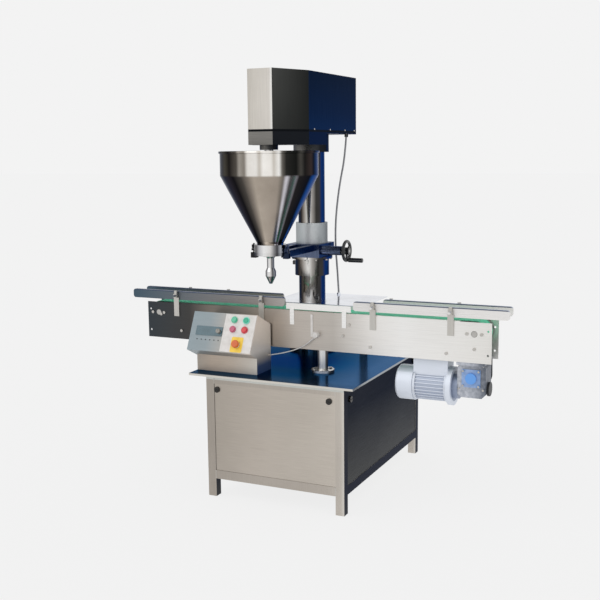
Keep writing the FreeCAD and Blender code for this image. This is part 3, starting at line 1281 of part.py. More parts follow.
def push_button(row):
    """Flush push button with its plunger."""
    low = WHITE_PLATE_T + BUTTON_TRAVEL + CLEAR
    cap = rod(vec(BUTTON_X, row, low), Z_AXIS, CAP_D, CAP - BUTTON_TRAVEL)
    stem = rod(vec(BUTTON_X, row, low - STEM), Z_AXIS, STEM_D, STEM)
    return on_face(fuse([cap, stem]))


def emergency_stop():
    """Mushroom head on a stem; it pushes in."""
    x, y = STOP_PLACE
    low = WHITE_PLATE_T + BEZEL / 2 + STOP_GAP
    head = rod(vec(x, y, low), Z_AXIS, STOP_D, STOP_HEAD)
    rim = [e for e in head.Edges if e.BoundBox.ZMin > low + STOP_HEAD - 0.01]
    head = head.makeFillet(STOP_HEAD / 3, rim)
    stem = rod(vec(x, y, low - STEM), Z_AXIS, STOP_STEM_D, STEM)
    return on_face(fuse([head, stem]))


def panel_lamps():
    """Two signal lamps: bezel, domed lens and the lamp's body behind the face."""
    lamps = []
    for row in (UPPER_ROW, LOWER_ROW):
        bezel = rod(vec(LAMP_X, row, WHITE_PLATE_T), Z_AXIS, BEZEL_D, BEZEL)
        lens = rod(vec(LAMP_X, row, WHITE_PLATE_T + BEZEL), Z_AXIS, CAP_D, CAP - BEZEL)
        body = rod(vec(LAMP_X, row, WHITE_PLATE_T - STEM), Z_AXIS, STEM_D, STEM)
        lamps.append(on_face(fuse([bezel, lens, body])))
    return group(lamps)


def display_unit():
    """Display with its bezel plate and the body behind it."""
    x0, x1, y0, y1 = DISPLAY
    bezel = block(x0, x1, y0, y1, 0, DISPLAY_T)
    body = display_body(-DISPLAY_DEPTH, 0)
    hole = rod(vec(KNOB_X, (y0 + y1) / 2, 0), Z_AXIS, KNOB_SHAFT_D + 2 * RUN, DISPLAY_T)
    return on_face(fuse([bezel, body]).cut(hole))


def speed_knob():
    y = (DISPLAY[2] + DISPLAY[3]) / 2
    knob = rod(vec(KNOB_X, y, DISPLAY_T + CLEAR), Z_AXIS, KNOB_D, KNOB)
    top = DISPLAY_T + CLEAR + KNOB
    mark = block(KNOB_X - KNOB_MARK / 2, KNOB_X + KNOB_MARK / 2, y, y + KNOB_D / 2, top - KNOB_MARK / 2, top)
    shaft = rod(vec(KNOB_X, y, -STEM / 2), Z_AXIS, KNOB_SHAFT_D, STEM / 2 + DISPLAY_T + AIR)
    return on_face(fuse([knob.cut(mark), shaft]))


PARTS = {
    "base_frame": base_frame,
    "table_top": table_top,
    "front_panel": lambda: panel("front"),
    "back_panel": lambda: panel("back"),
    "side_panels": lambda: group([panel("left"), panel("right")]),
    "lock_front_left": lambda: panel_lock("front", 0),
    "lock_front_right": lambda: panel_lock("front", 1),
    "lock_side_front": lambda: panel_lock("right", 0),
    "lock_side_back": lambda: panel_lock("right", 1),
    "near_side_plate": lambda: side_plate(True),
    "far_side_plate": lambda: side_plate(False),
    "slider_bed": slider_bed,
    "conveyor_belt": conveyor_belt,
    "drive_roller": drive_roller,
    "tail_roller": tail_roller,
    "roller_bearings": roller_bearings,
    "front_rail_left": lambda: front_rail(0),
    "front_rail_right": lambda: front_rail(1),
    "rear_rail": rear_rail,
    "rail_brackets": rail_brackets,
    "station_guide": station_guide,
    "sensor": sensor,
    "drive_motor": drive_motor,
    "drive_gearbox": drive_gearbox,
    "drive_sprocket": drive_sprocket,
    "drive_chain": drive_chain,
    "support_posts": support_posts,
    "station_deck": station_deck,
    "column_foot": column_foot,
    "frame_bolts": frame_bolts,
    "lower_column": lower_column,
    "lift_sleeve": lift_sleeve,
    "clamp_screw": clamp_screw,
    "lift_bracket": lift_bracket,
    "lift_collar": lift_collar,
    "upper_column": upper_column,
    "pinion_shaft": pinion_shaft,
    "handwheel": handwheel,
    "crank_grip": crank_grip,
    "hopper": hopper,
    "hopper_clamp": hopper_clamp,
    "swing_bolt_left": lambda: swing_bolt(-1),
    "swing_bolt_right": lambda: swing_bolt(1),
    "spout": spout,
    "auger": auger,
    "agitator": agitator,
    "head_base": head_base,
    "head_cover": head_cover,
    "agitator_motor": agitator_motor,
    "auger_motor": auger_motor,
    "console_box": console_box,
    "console_plate": console_plate,
    "start_button": lambda: push_button(UPPER_ROW),
    "stop_button": lambda: push_button(LOWER_ROW),
    "emergency_stop": emergency_stop,
    "panel_lamps": panel_lamps,
    "display_unit": display_unit,
    "speed_knob": speed_knob,
    "head_cable": lambda: cord(HEAD_CABLE, HEAD_CABLE_D),
    "sensor_cable": lambda: cord(SENSOR_CABLE, SENSOR_CABLE_D),
}


def main():
    os.makedirs("parts", exist_ok=True)
    for name, make in PARTS.items():
        shape = make()
        if not shape.isValid() or shape.Volume <= 0:
            print("check", name, shape.isValid(), round(shape.Volume))
        shape.exportStep(f"parts/{name}.step")


main()
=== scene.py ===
"""Looks of the auger powder filler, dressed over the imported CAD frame. Metres, row frame."""
import math

import bmesh
import bpy
from mathutils import Matrix, Vector


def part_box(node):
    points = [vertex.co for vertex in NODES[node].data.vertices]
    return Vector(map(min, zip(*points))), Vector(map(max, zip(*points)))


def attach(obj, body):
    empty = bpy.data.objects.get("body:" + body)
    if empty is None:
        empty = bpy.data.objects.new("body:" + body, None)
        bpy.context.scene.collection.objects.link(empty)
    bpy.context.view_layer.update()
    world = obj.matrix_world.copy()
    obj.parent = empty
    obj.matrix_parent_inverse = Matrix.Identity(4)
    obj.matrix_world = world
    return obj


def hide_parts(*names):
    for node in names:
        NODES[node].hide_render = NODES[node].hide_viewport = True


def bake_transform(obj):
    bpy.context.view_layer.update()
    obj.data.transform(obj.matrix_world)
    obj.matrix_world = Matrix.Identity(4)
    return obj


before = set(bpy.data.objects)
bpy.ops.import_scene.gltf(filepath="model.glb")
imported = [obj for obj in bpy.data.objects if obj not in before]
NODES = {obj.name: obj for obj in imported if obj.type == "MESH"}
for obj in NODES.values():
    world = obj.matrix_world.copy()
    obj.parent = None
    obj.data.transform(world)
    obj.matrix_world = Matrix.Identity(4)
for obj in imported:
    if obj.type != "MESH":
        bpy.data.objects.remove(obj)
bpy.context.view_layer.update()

X_AXIS = Vector((1, 0, 0))
Y_AXIS = Vector((0, 1, 0))
Z_AXIS = Vector((0, 0, 1))


def low(node):
    return Vector(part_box(node)[0])


def high(node):
    return Vector(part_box(node)[1])


def centre(node):
    return (low(node) + high(node)) / 2


# Camera ----------------------------------------------------------------

CAMERA_FROM_TABLE = Vector((1.855, -4.1479, 0.9676))
CAMERA_YAW = math.radians(25.2219)
CAMERA_PITCH = math.radians(8.6935)
CAMERA_ROLL = math.radians(-0.6147)
CAMERA_LENS = 58.11


def make_camera():
    data = bpy.data.cameras.new("camera")
    data.lens = CAMERA_LENS
    data.sensor_width = 36
    data.clip_start = 0.1
    data.clip_end = 200
    camera = bpy.data.objects.new("camera", data)
    bpy.context.scene.collection.objects.link(camera)
    top = centre("table_top")
    place = Vector((top.x, top.y, high("table_top").z)) + CAMERA_FROM_TABLE
    forward = Vector((-math.sin(CAMERA_YAW) * math.cos(CAMERA_PITCH),
                      math.cos(CAMERA_YAW) * math.cos(CAMERA_PITCH), -math.sin(CAMERA_PITCH)))
    level = Vector((math.cos(CAMERA_YAW), math.sin(CAMERA_YAW), 0))
    upright = level.cross(forward)
    right = level * math.cos(CAMERA_ROLL) + upright * math.sin(CAMERA_ROLL)
    up = upright * math.cos(CAMERA_ROLL) - level * math.sin(CAMERA_ROLL)
    turn = Matrix((right, up, -forward)).transposed()
    camera.matrix_world = Matrix.Translation(place) @ turn.to_4x4()
    bpy.context.scene.camera = camera


make_camera()

# Shader helpers --------------------------------------------------------

FRONT_TURN = math.radians(65)


def rgb(text):
    """Linear colour from an sRGB hex string."""
    parts = [int(text[i:i + 2], 16) / 255 for i in (1, 3, 5)]
    return (*[c / 12.92 if c <= 0.04045 else ((c + 0.055) / 1.055) ** 2.4 for c in parts], 1.0)


class Shader:
    """A node material around one Principled BSDF."""

    def __init__(self, name, colour="#808080", metallic=0.0, roughness=0.5, **sockets):
        self.material = bpy.data.materials.new(name)
        self.material.use_nodes = True
        self.nodes = self.material.node_tree.nodes
        self.bsdf = self.nodes["Principled BSDF"]
        self.set("Base Color", rgb(colour))
        self.set("Metallic", metallic)
        self.set("Roughness", roughness)
        for socket, value in sockets.items():
            self.set(socket.replace("_", " "), value)

    def set(self, socket, value):
        self.bsdf.inputs[socket].default_value = value

    def link(self, source, target):
        self.material.node_tree.links.new(source, target)

    def feed(self, target, value):
        if isinstance(value, bpy.types.NodeSocket):
            self.link(value, target)
        else:
            target.default_value = value

    def new(self, kind, **properties):
        node = self.nodes.new(kind)
        for key, value in properties.items():
            setattr(node, key, value)
        return node

    def place(self, kind="Object"):
        return self.new("ShaderNodeTexCoord").outputs[kind]

    def mapped(self, scale, source=None):
        node = self.new("ShaderNodeMapping")
        self.link(source or self.place(), node.inputs["Vector"])
        node.inputs["Scale"].default_value = scale
        return node.outputs["Vector"]

    def noise(self, scale, detail=3.0, source=None):
        """Noise with its own scale along each axis, in cycles per metre."""
        node = self.new("ShaderNodeTexNoise")
        node.inputs["Scale"].default_value = 1.0
        node.inputs["Detail"].default_value = detail
        self.link(self.mapped(scale, source), node.inputs["Vector"])
        return node.outputs["Fac"]

    def ranged(self, value, a, b, c=0.0, d=1.0):
        node = self.new("ShaderNodeMapRange")
        self.link(value, node.inputs["Value"])
        for socket, number in (("From Min", a), ("From Max", b), ("To Min", c), ("To Max", d)):
            node.inputs[socket].default_value = number
        return node.outputs["Result"]

    def math(self, operation, a, b=0.0):
        node = self.new("ShaderNodeMath", operation=operation)
        self.feed(node.inputs[0], a)
        self.feed(node.inputs[1], b)
        return node.outputs["Value"]

    def mix(self, factor, a, b, blend="MIX"):
        node = self.new("ShaderNodeMix", data_type="RGBA", blend_type=blend)
        self.feed(node.inputs[0], factor)
        self.feed(node.inputs[6], a)
        self.feed(node.inputs[7], b)
        return node.outputs[2]

    def ramp(self, factor, stops, interpolation="LINEAR"):
        node = self.new("ShaderNodeValToRGB")
        node.color_ramp.interpolation = interpolation
        elements = node.color_ramp.elements
        while len(elements) < len(stops):
            elements.new(0.5)
        for element, (at, colour) in zip(elements, stops):
            element.position = at
            element.color = rgb(colour)
        self.link(factor, node.inputs["Fac"])
        return node.outputs["Color"]

    def axis(self, name, source=None):
        node = self.new("ShaderNodeSeparateXYZ")
        self.link(source or self.place(), node.inputs[0])
        return node.outputs[name]

    def along(self, name, stops):
        """Colour by place along an axis, from (metres, colour) stops."""
        a, b = stops[0][0], stops[-1][0]
        factor = self.ranged(self.axis(name), a, b)
        return self.ramp(factor, [((p - a) / (b - a), c) for p, c in stops])

    def around(self, stops, middle=(0, 0, 0), kind="Object"):
        """Colour by angle about the vertical at middle; 0 faces the front right corner."""
        shift = self.new("ShaderNodeVectorMath", operation="SUBTRACT")
        self.link(self.place(kind), shift.inputs[0])
        shift.inputs[1].default_value = middle
        turn = self.new("ShaderNodeMapping")
        self.link(shift.outputs[0], turn.inputs["Vector"])
        turn.inputs["Rotation"].default_value = (0, 0, FRONT_TURN)
        x = self.axis("X", turn.outputs["Vector"])
        y = self.axis("Y", turn.outputs["Vector"])
        angle = self.math("ARCTAN2", y, x)
        factor = self.ranged(angle, -math.pi, math.pi)
        return self.ramp(factor, [(a / 360 + 0.5, c) for a, c in stops])

    def above(self, name, edge, soft=0.0005):
        """1 beyond a place along an axis and 0 before it."""
        return self.ranged(self.axis(name), edge - soft, edge + soft)

    def facing(self, axis, sign):
        """1 on faces whose normal points along an axis, 0 elsewhere."""
        part = self.axis(axis, self.place("Normal"))
        return self.ranged(part, 0.4, 0.6) if sign > 0 else self.ranged(part, -0.6, -0.4, 1.0, 0.0)

    def colour(self, value):
        self.feed(self.bsdf.inputs["Base Color"], value)

    def rough(self, value, a, b):
        self.link(self.ranged(value, 0.3, 0.7, a, b), self.bsdf.inputs["Roughness"])

    def bump(self, height, strength, distance):
        node = self.new("ShaderNodeBump")
        node.inputs["Strength"].default_value = strength
        node.inputs["Distance"].default_value = distance
        self.link(height, node.inputs["Height"])
        self.link(node.outputs["Normal"], self.bsdf.inputs["Normal"])


ALONG_X = (9.0, 900.0, 900.0)
ALONG_Y = (900.0, 9.0, 900.0)
ALONG_Z = (900.0, 900.0, 9.0)


def brushed(name, tone, grain, roughness=0.3, metallic=1.0, depth=0.1, contrast=0.2, **sockets):
    """Brushed steel: tone is a colour, or a function that makes one from the shader."""
    s = Shader(name, metallic=metallic, **sockets)
    hair = s.noise(grain, 4.0)
    cloud = s.noise((3.5, 3.5, 3.5), 4.0)
    base = rgb(tone) if isinstance(tone, str) else tone(s)
    shade = s.ranged(hair, 0.3, 0.7, 0.0, contrast)
    worn = s.ranged(cloud, 0.35, 0.7, 0.0, contrast * 0.8)
    base = s.mix(shade, base, rgb("#2c2a28"), "MULTIPLY")
    s.colour(s.mix(worn, base, rgb("#8d867c"), "MULTIPLY"))
    s.rough(hair, roughness - 0.07, roughness + 0.1)
    s.bump(hair, depth, 0.0004)
    return s


def polished(name, tone, roughness=0.12, metallic=1.0, **sockets):
    """Polished steel with faint streaks and hand marks."""
    s = Shader(name, metallic=metallic, **sockets)
    cloud = s.noise((9, 9, 9), 5.0)
    marks = s.noise((60, 60, 14), 5.0)
    base = rgb(tone) if isinstance(tone, str) else tone(s)
    s.colour(s.mix(s.ranged(cloud, 0.4, 0.75, 0.0, 0.25), base, rgb("#9c958c"), "MULTIPLY"))
    s.rough(cloud, roughness - 0.04, roughness + 0.08)
    s.bump(marks, 0.04, 0.0005)
    return s


def plastic(name, colour, roughness=0.35, grain=0.05, metallic=0.0, scale=900.0, **sockets):
    """Moulded plastic or paint with a fine grain and slight colour drift."""
    s = Shader(name, metallic=metallic, **sockets)
    fine = s.noise((scale, scale, scale), 3.0)
    cloud = s.noise((40, 40, 40), 3.0)
    s.colour(s.mix(s.ranged(cloud, 0.35, 0.7, 0.0, 0.3), rgb(colour), rgb("#b9b4ad"), "MULTIPLY"))
    s.rough(fine, roughness - 0.05, roughness + 0.1)
    s.bump(fine, grain, 0.0004)
    return s


def dress(shader, *names):
    """Gives CAD nodes this material."""
    for name in names:
        data = NODES[name].data
        if not data.materials:
            data.materials.append(shader.material)
        for slot in NODES[name].material_slots:
            slot.material = shader.material


# Materials -------------------------------------------------------------

# Edge tints keep dark faces dark where they are seen at a flat angle
DARK_EDGE = (0.5, 0.52, 0.58, 1.0)
TABLE_EDGE = (0.2, 0.3, 0.45, 1.0)
TOP_RAIL_Z = 0.543
TABLE_SHEET = 0.0008
HOPPER_WALL_SHARE = 0.758
HEAD_SEAM_RISE = 0.010
GEAR_COVER_DEPTH = 0.014
GEAR_COVER_RISE = 0.046
GEAR_CAP = 0.0097

column_x, column_y = centre("upper_column").x, centre("upper_column").y
fill_x, fill_y = centre("hopper").x, centre("hopper").y


# Painted light: the front and back panels run from darker at the left to lighter at the right.
def front_tone(s):
    return s.along("X", [(-0.42, "#b6aea4"), (-0.2, "#c0b7ad"), (0.1, "#c9c1b7"), (0.26, "#cfc7bd")])


dress(brushed("steel_front", front_tone, ALONG_X, 0.36, contrast=0.14), "front_panel", "back_panel")


# Painted shade and light: the steel side panels are painted near black, darkest towards the back, with
# lighter grey towards the floor.
def side_tone(s):
    rear = s.along("Y", [(-0.5, "#2c2c2c"), (-0.3, "#2a2a2b"), (0.0, "#1c1c1d"), (0.25, "#0b0b0c"),
                         (0.5, "#070708")])
    lift = s.ranged(s.axis("Z"), 0.12, 0.44, 0.9, 0.0)
    return s.mix(lift, rear, rgb("#6a6963"))


dress(brushed("steel_side", side_tone, ALONG_Y, 0.33, contrast=0.3, Specular_Tint=DARK_EDGE), "side_panels")


# Painted light and shade by face direction: left faces mid grey, right faces dark, front faces lighter
# towards the right with a painted highlight strip at the right edge, and a lighter top rail.
def frame_tone(s):
    left = s.facing("X", -1)
    right = s.facing("X", 1)
    across = s.along("X", [(-0.42, "#b0a89f"), (0.17, "#c0b8af"), (0.235, "#c9c2b9"), (0.251, "#ded9d2")])
    across = s.mix(s.above("Z", TOP_RAIL_Z), across, rgb("#cdcfca"))
    dark = s.along("Z", [(0.0, "#4a4a48"), (0.1, "#35353a"), (0.3, "#3a3a3b"), (0.56, "#2a2a2d")])
    return s.mix(left, s.mix(right, across, dark), rgb("#6f6c68"))


steel_frame = brushed("steel_frame", frame_tone, ALONG_Z, 0.34, contrast=0.14, Specular_Tint=DARK_EDGE)
dress(steel_frame, "base_frame")


# Painted reflection: the top runs from beige grey at the front to navy across the middle and blue grey at
# the back, lighter blue towards the right; the light rim below the top sheet is a painted highlight.
def table_tone(s):
    deep = s.along("Y", [(-0.56, "#8c8a88"), (-0.42, "#5c6274"), (-0.33, "#5c5a60"), (-0.24, "#34496c"),
                         (-0.1, "#24406e"), (0.05, "#4a5568"), (0.3, "#6e6e70"), (0.56, "#56627a")])
    right = s.ranged(s.axis("X"), 0.0, 0.25, 0.0, 0.9)
    top = s.mix(right, deep, rgb("#93a5c2"))
    return s.mix(s.above("Z", high("table_top").z - TABLE_SHEET, 0.0003), rgb("#dcd8d0"), top)


dress(brushed("steel_table", table_tone, ALONG_X, 0.17, depth=0.03, contrast=0.12, Specular_Tint=TABLE_EDGE),
      "table_top")


# Painted light: the side plates and slider bed run from dark grey at the left to near white at the right.
def plate_tone(s):
    return s.along("X", [(-0.83, "#3f454a"), (-0.60, "#4b4a49"), (-0.50, "#7a736c"), (-0.25, "#b5aca2"),
                         (-0.05, "#c6beb6"), (0.13, "#c4beb7"), (0.30, "#ece9e5"), (0.45, "#f6f5f3"),
                         (0.83, "#ebe9e5")])


steel_plate = brushed("steel_plate", plate_tone, ALONG_X, 0.36, contrast=0.1)
dress(steel_plate, "near_side_plate", "far_side_plate", "slider_bed")
guide_metal = brushed("guide_metal", "#f3f2f0", ALONG_X, 0.3, metallic=0.3, contrast=0.06)
dress(guide_metal, "station_guide")
steel_bracket = brushed("steel_bracket", "#cfccc6", ALONG_Z, 0.38)
dress(steel_bracket, "rail_brackets")

rail_top = high("rear_rail").z


# Painted reflection: the rail faces run from dark blue grey at the left to near white at the right, and
# their tops are painted navy to blue grey; a dark blue band runs along the top edge.
def rail_tone(s):
    face = s.along("X", [(-0.90, "#3b5464"), (-0.55, "#6d7074"), (-0.2, "#9a9490"), (0.2, "#e4e2e0"),
                         (0.9, "#eceae8")])
    crest = s.along("X", [(-0.90, "#22365a"), (-0.2, "#2f4268"), (0.2, "#8c97ae"), (0.9, "#9ba5ba")])
    edged = s.mix(s.above("Z", rail_top - 0.004, 0.0006), face, rgb("#33435e"))
    return s.mix(s.facing("Z", 1), edged, crest)


rail = brushed("rail", rail_tone, ALONG_X, 0.3, metallic=0.35, depth=0.05, contrast=0.1)
dress(rail, "front_rail_left", "front_rail_right", "rear_rail")

belt = plastic("belt", "#4cc59a", 0.55, grain=0.35, scale=1400.0)
dress(belt, "conveyor_belt")

# Painted reflection: the column, sleeve and foot carry vertical bands of white highlight, dark and navy
# painted round the column axis.
COLUMN_PAINTED_REFLECTION = [(-180, "#7d7f84"), (-120, "#24262b"), (-85, "#141a26"), (-62, "#1b2333"), (-48, "#3c3632"),
                  (-36, "#8e8780"), (-24, "#c9c6c2"), (-14, "#f6f5f2"), (0, "#a8a4a0"), (18, "#3a3937"),
                  (36, "#3b3a3b"), (48, "#0f2f6b"), (74, "#12356f"), (90, "#132a52"), (130, "#55585e"),
                  (180, "#7d7f84")]
chrome = polished("chrome", lambda s: s.around(COLUMN_PAINTED_REFLECTION, (column_x, column_y, 0)), 0.1,
                  Specular_Tint=DARK_EDGE)
dress(chrome, "upper_column", "lower_column", "lift_sleeve", "column_foot")
# Painted reflection by face direction: the support posts carry a broad white highlight towards the front and
# dark grey to navy beyond it.
POST_PAINTED_REFLECTION = [(-180, "#9a9a9c"), (-100, "#3a3c42"), (-62, "#4b4b4c"), (-46, "#dcdad6"), (-30, "#f6f5f3"),
                (20, "#fbfaf8"), (32, "#8a8782"), (56, "#2e3340"), (90, "#2c3a58"), (180, "#9a9a9c")]
post_metal = polished("post_metal", lambda s: s.around(POST_PAINTED_REFLECTION, kind="Normal"), 0.3, 0.9)
dress(post_metal, "support_posts")
dress(polished("roller_metal", "#bdbbb7", 0.2), "drive_roller", "tail_roller", "pinion_shaft")

# Painted reflection: vertical bands of white highlight, black and navy painted round the hopper axis, one
# set for the wall and one for the cone.
HOPPER_WALL_PAINTED_REFLECTION = [(-180, "#85827d"), (-130, "#3a3835"), (-90, "#26231f"), (-60, "#4d483c"),
                       (-50, "#1e1a17"), (-38, "#57524c"), (-34, "#a8a29a"), (-27, "#8a837a"),
                       (-23, "#f0ece6"), (-13, "#f6f3ee"),
                       (-9, "#c9c2b8"), (-5, "#fbf8f3"), (4, "#f3efe9"), (7, "#cfc9c0"), (13, "#faf8f4"),
                       (16, "#6c6862"), (21, "#2a2a28"), (34, "#1a1b1a"), (40, "#4a4844"), (46, "#1d1c1b"),
                       (58, "#3a302c"), (64, "#15171c"), (76, "#17407f"), (92, "#1a3a70"), (130, "#5b5d60"),
                       (180, "#85827d")]
HOPPER_CONE_PAINTED_REFLECTION = [(-180, "#7c7a76"), (-130, "#2f2d2b"), (-80, "#141212"), (-55, "#2c2728"),
                       (-44, "#151313"), (-32, "#4a4642"), (-24, "#847b72"), (-16, "#b5aa9d"),
                       (0, "#a89d91"), (12, "#a0958a"),
                       (18, "#6b655e"), (22, "#d8d5dd"), (27, "#4a4747"), (34, "#8d8890"), (38, "#242223"),
                       (56, "#131315"), (64, "#1b4a92"), (84, "#1d4f9c"), (100, "#18376d"), (140, "#55575a"),
                       (180, "#7c7a76")]
hopper_kink = low("hopper").z + (high("hopper").z - low("hopper").z) * HOPPER_WALL_SHARE


def hopper_tone(s):
    middle = (fill_x, fill_y, 0)
    wall = s.around(HOPPER_WALL_PAINTED_REFLECTION, middle)
    cone = s.around(HOPPER_CONE_PAINTED_REFLECTION, middle)
    return s.mix(s.above("Z", hopper_kink, 0.004), cone, wall)


dress(polished("hopper_steel", hopper_tone, 0.16, Specular_Tint=DARK_EDGE), "hopper")
# Painted reflection: white highlight, dark and navy bands painted round the filling axis on the clamp,
# spout, swing bolts, auger and agitator.
SPOUT_PAINTED_REFLECTION = [(-180, "#8a8886"), (-110, "#2f2f31"), (-72, "#232326"), (-55, "#6b6a6c"), (-40, "#c9c9cc"),
                 (-22, "#f4f4f4"), (0, "#e2e0de"), (14, "#8b8a8c"), (26, "#3a3a3e"), (40, "#a9abb2"),
                 (52, "#2d3444"), (76, "#22345c"), (110, "#45484f"), (180, "#8a8886")]
mirror = polished("mirror_steel", lambda s: s.around(SPOUT_PAINTED_REFLECTION, (fill_x, fill_y, 0)), 0.14)
dress(mirror, "hopper_clamp", "spout", "swing_bolt_left", "swing_bolt_right", "auger", "agitator")
deck_metal = polished("deck_metal", "#e3e6ee", 0.12)
dress(deck_metal, "station_deck")
bolt_metal = polished("bolt_metal", "#c4c1bc", 0.24)
dress(bolt_metal, "frame_bolts")

head_seam = low("head_cover").z + HEAD_SEAM_RISE


# Painted light and reflection: the front face lightens towards the right with a painted highlight strip at
# its right edge, the cheeks are painted dark grey lighter towards the front and top, the right side is a
# painted navy reflection, and the left and back faces are painted in shaded greys.
def head_tone(s):
    front = s.along("X", [(-0.26, "#cbc6be"), (-0.22, "#d8d3cb"), (-0.15, "#e0dbd4"), (-0.143, "#f4f2ee"),
                          (-0.135, "#f4f2ee")])
    cheek = s.mix(s.ranged(s.axis("X"), -0.137, -0.06, 0.9, 0.0), rgb("#2a2b2a"), rgb("#50514f"))
    cheek = s.mix(s.ranged(s.axis("Z"), 1.64, 1.90, 0.6, 0.0), cheek, rgb("#262827"))
    side = s.along("Z", [(1.62, "#0c2a55"), (1.72, "#0b2144"), (1.90, "#0c1a30")])
    turned = s.axis("X", s.place("Normal"))
    right = s.mix(s.ranged(turned, 0.3, 0.4), front, cheek)
    right = s.mix(s.ranged(turned, 0.97, 0.99), right, side)
    left = s.mix(s.ranged(turned, -0.4, -0.3, 1.0, 0.0), right, rgb("#4a4f55"))
    back = s.mix(s.facing("Y", 1), left, rgb("#3a4048"))
    return s.mix(s.above("Z", head_seam), rgb("#15171a"), back)


dress(brushed("head_metal", head_tone, ALONG_Z, 0.36, contrast=0.16, Specular_Tint=DARK_EDGE), "head_cover")
# Painted light, shade and navy reflection by face direction on the head base.
BASE_PAINTED_SHADING = [(-180, "#3c4148"), (-105, "#3c4148"), (-60, "#5d5c5b"), (-25, "#8b8985"), (5, "#4a4b4d"),
              (30, "#26282c"), (54, "#1d2025"), (60, "#0d1f42"), (110, "#0b1a36"), (180, "#3c4148")]
dress(brushed("head_base_metal", lambda s: s.around(BASE_PAINTED_SHADING, kind="Normal"), ALONG_X, 0.36,
              Specular_Tint=DARK_EDGE), "head_base")
# Painted light and reflection: the bracket arms are painted navy and blue grey by face direction, and the
# ring round the hopper takes the spout's painted reflection bands.
BRACKET_PAINTED_SHADING = [(-180, "#5b6472"), (-90, "#3d4a66"), (-50, "#59688a"), (-10, "#6e7890"), (30, "#2a3c68"),
                 (70, "#1c3768"), (120, "#2a3a58"), (180, "#5b6472")]


def bracket_tone(s):
    arms = s.around(BRACKET_PAINTED_SHADING, kind="Normal")
    ring = s.around(SPOUT_PAINTED_REFLECTION, (fill_x, fill_y, 0))
    return s.mix(s.ranged(s.axis("Y"), fill_y + 0.070, fill_y + 0.080, 1.0, 0.0), arms, ring)


dress(brushed("bracket_metal", bracket_tone, ALONG_Z, 0.26, Specular_Tint=DARK_EDGE), "lift_bracket")


def knurled(name, tone):
    """Light aluminium with a fine cross knurl."""
    s = Shader(name, metallic=0.9)
    waves = s.new("ShaderNodeTexChecker")
    s.link(s.mapped((700, 700, 700)), waves.inputs["Vector"])
    waves.inputs["Scale"].default_value = 1.0
    speck = s.noise((600, 600, 600), 2.0)
    base = tone(s)
    s.colour(s.mix(s.ranged(speck, 0.35, 0.65, 0.0, 0.4), base, rgb("#8c8f92"), "MULTIPLY"))
    s.rough(speck, 0.38, 0.5)
    s.bump(waves.outputs["Fac"], 0.12, 0.0004)
    return s


# Painted highlight and shade round the column axis on the knurled collar.
COLLAR_PAINTED_SHADING = [(-180, "#a6a9ab"), (-90, "#8d9294"), (-40, "#c6cbcd"), (-10, "#f2f4f5"), (30, "#b8bdc0"),
                 (62, "#868b90"), (90, "#7b8188"), (180, "#a6a9ab")]
dress(knurled("collar_metal", lambda s: s.around(COLLAR_PAINTED_SHADING, (column_x, column_y, 0))), "lift_collar")

black_gloss = plastic("black_gloss", "#0c0d10", 0.18, Coat_Weight=0.4)
dress(black_gloss, "handwheel", "crank_grip", "clamp_screw", "auger_motor")
dress(plastic("knob_grey", "#8d8a84", 0.3, metallic=0.4), "speed_knob")
black_lock = plastic("black_lock", "#17130f", 0.3)
dress(black_lock, "lock_front_left", "lock_front_right", "lock_side_front", "lock_side_back")
black_steel = plastic("black_steel", "#1a1b1e", 0.42, metallic=0.6)
dress(black_steel, "drive_sprocket", "drive_chain", "roller_bearings")

motor_axis_z = low("drive_motor").z + (high("drive_motor").y - low("drive_motor").y) / 2
motor_y = centre("drive_motor").y


def motor_tone(s):
    """Silver paint, with painted shade in the grooves between the fins."""
    shift = s.new("ShaderNodeVectorMath", operation="SUBTRACT")
    s.link(s.place(), shift.inputs[0])
    shift.inputs[1].default_value = (0, motor_y, motor_axis_z)
    flat = s.new("ShaderNodeVectorMath", operation="MULTIPLY")
    s.link(shift.outputs[0], flat.inputs[0])
    flat.inputs[1].default_value = (0, 1, 1)
    reach = s.new("ShaderNodeVectorMath", operation="LENGTH")
    s.link(flat.outputs[0], reach.inputs[0])
    groove = s.ranged(reach.outputs["Value"], 0.0625, 0.0665, 1.0, 0.0)
    return s.mix(groove, rgb("#dbe1ec"), rgb("#8f9ab0"))


motor_paint = plastic("motor_paint", "#dbe1ec", 0.36, metallic=0.25)
fin_paint = plastic("fin_paint", "#dbe1ec", 0.36, metallic=0.25)
fin_paint.colour(motor_tone(fin_paint))
dress(fin_paint, "drive_motor")
dress(motor_paint, "agitator_motor")
gear_face = low("drive_gearbox").y
gear_axis_z = centre("drive_sprocket").z


def gearbox_tone(s):
    cast = s.noise((70, 70, 70), 4.0)
    body = s.ramp(cast, [(0.3, "#9a9fa8"), (0.7, "#c9ccd4")])
    fade = s.along("X", [(0.68, "#ffffff"), (0.745, "#f2f3f5"), (0.80, "#8f949c")])
    body = s.mix(1.0, body, fade, "MULTIPLY")
    cover = s.ranged(s.axis("Y"), gear_face + GEAR_COVER_DEPTH - 0.0005,
                     gear_face + GEAR_COVER_DEPTH + 0.0005, 1.0, 0.0)
    below = s.ranged(s.axis("Z"), gear_axis_z + GEAR_COVER_RISE - 0.001,
                     gear_axis_z + GEAR_COVER_RISE + 0.001, 1.0, 0.0)
    cap = s.above("X", high("drive_gearbox").x - GEAR_CAP, 0.0003)
    blue = s.mix(s.math("MULTIPLY", cover, below), body, rgb("#67a0e6"))
    return s.mix(cap, blue, rgb("#1a1c20"))


gearbox_cast = Shader("gearbox_cast", metallic=0.35)
gearbox_cast.colour(gearbox_tone(gearbox_cast))
gear_grain = gearbox_cast.noise((300, 300, 300), 4.0)
gearbox_cast.rough(gear_grain, 0.32, 0.5)
gearbox_cast.bump(gear_grain, 0.25, 0.0005)
dress(gearbox_cast, "drive_gearbox")


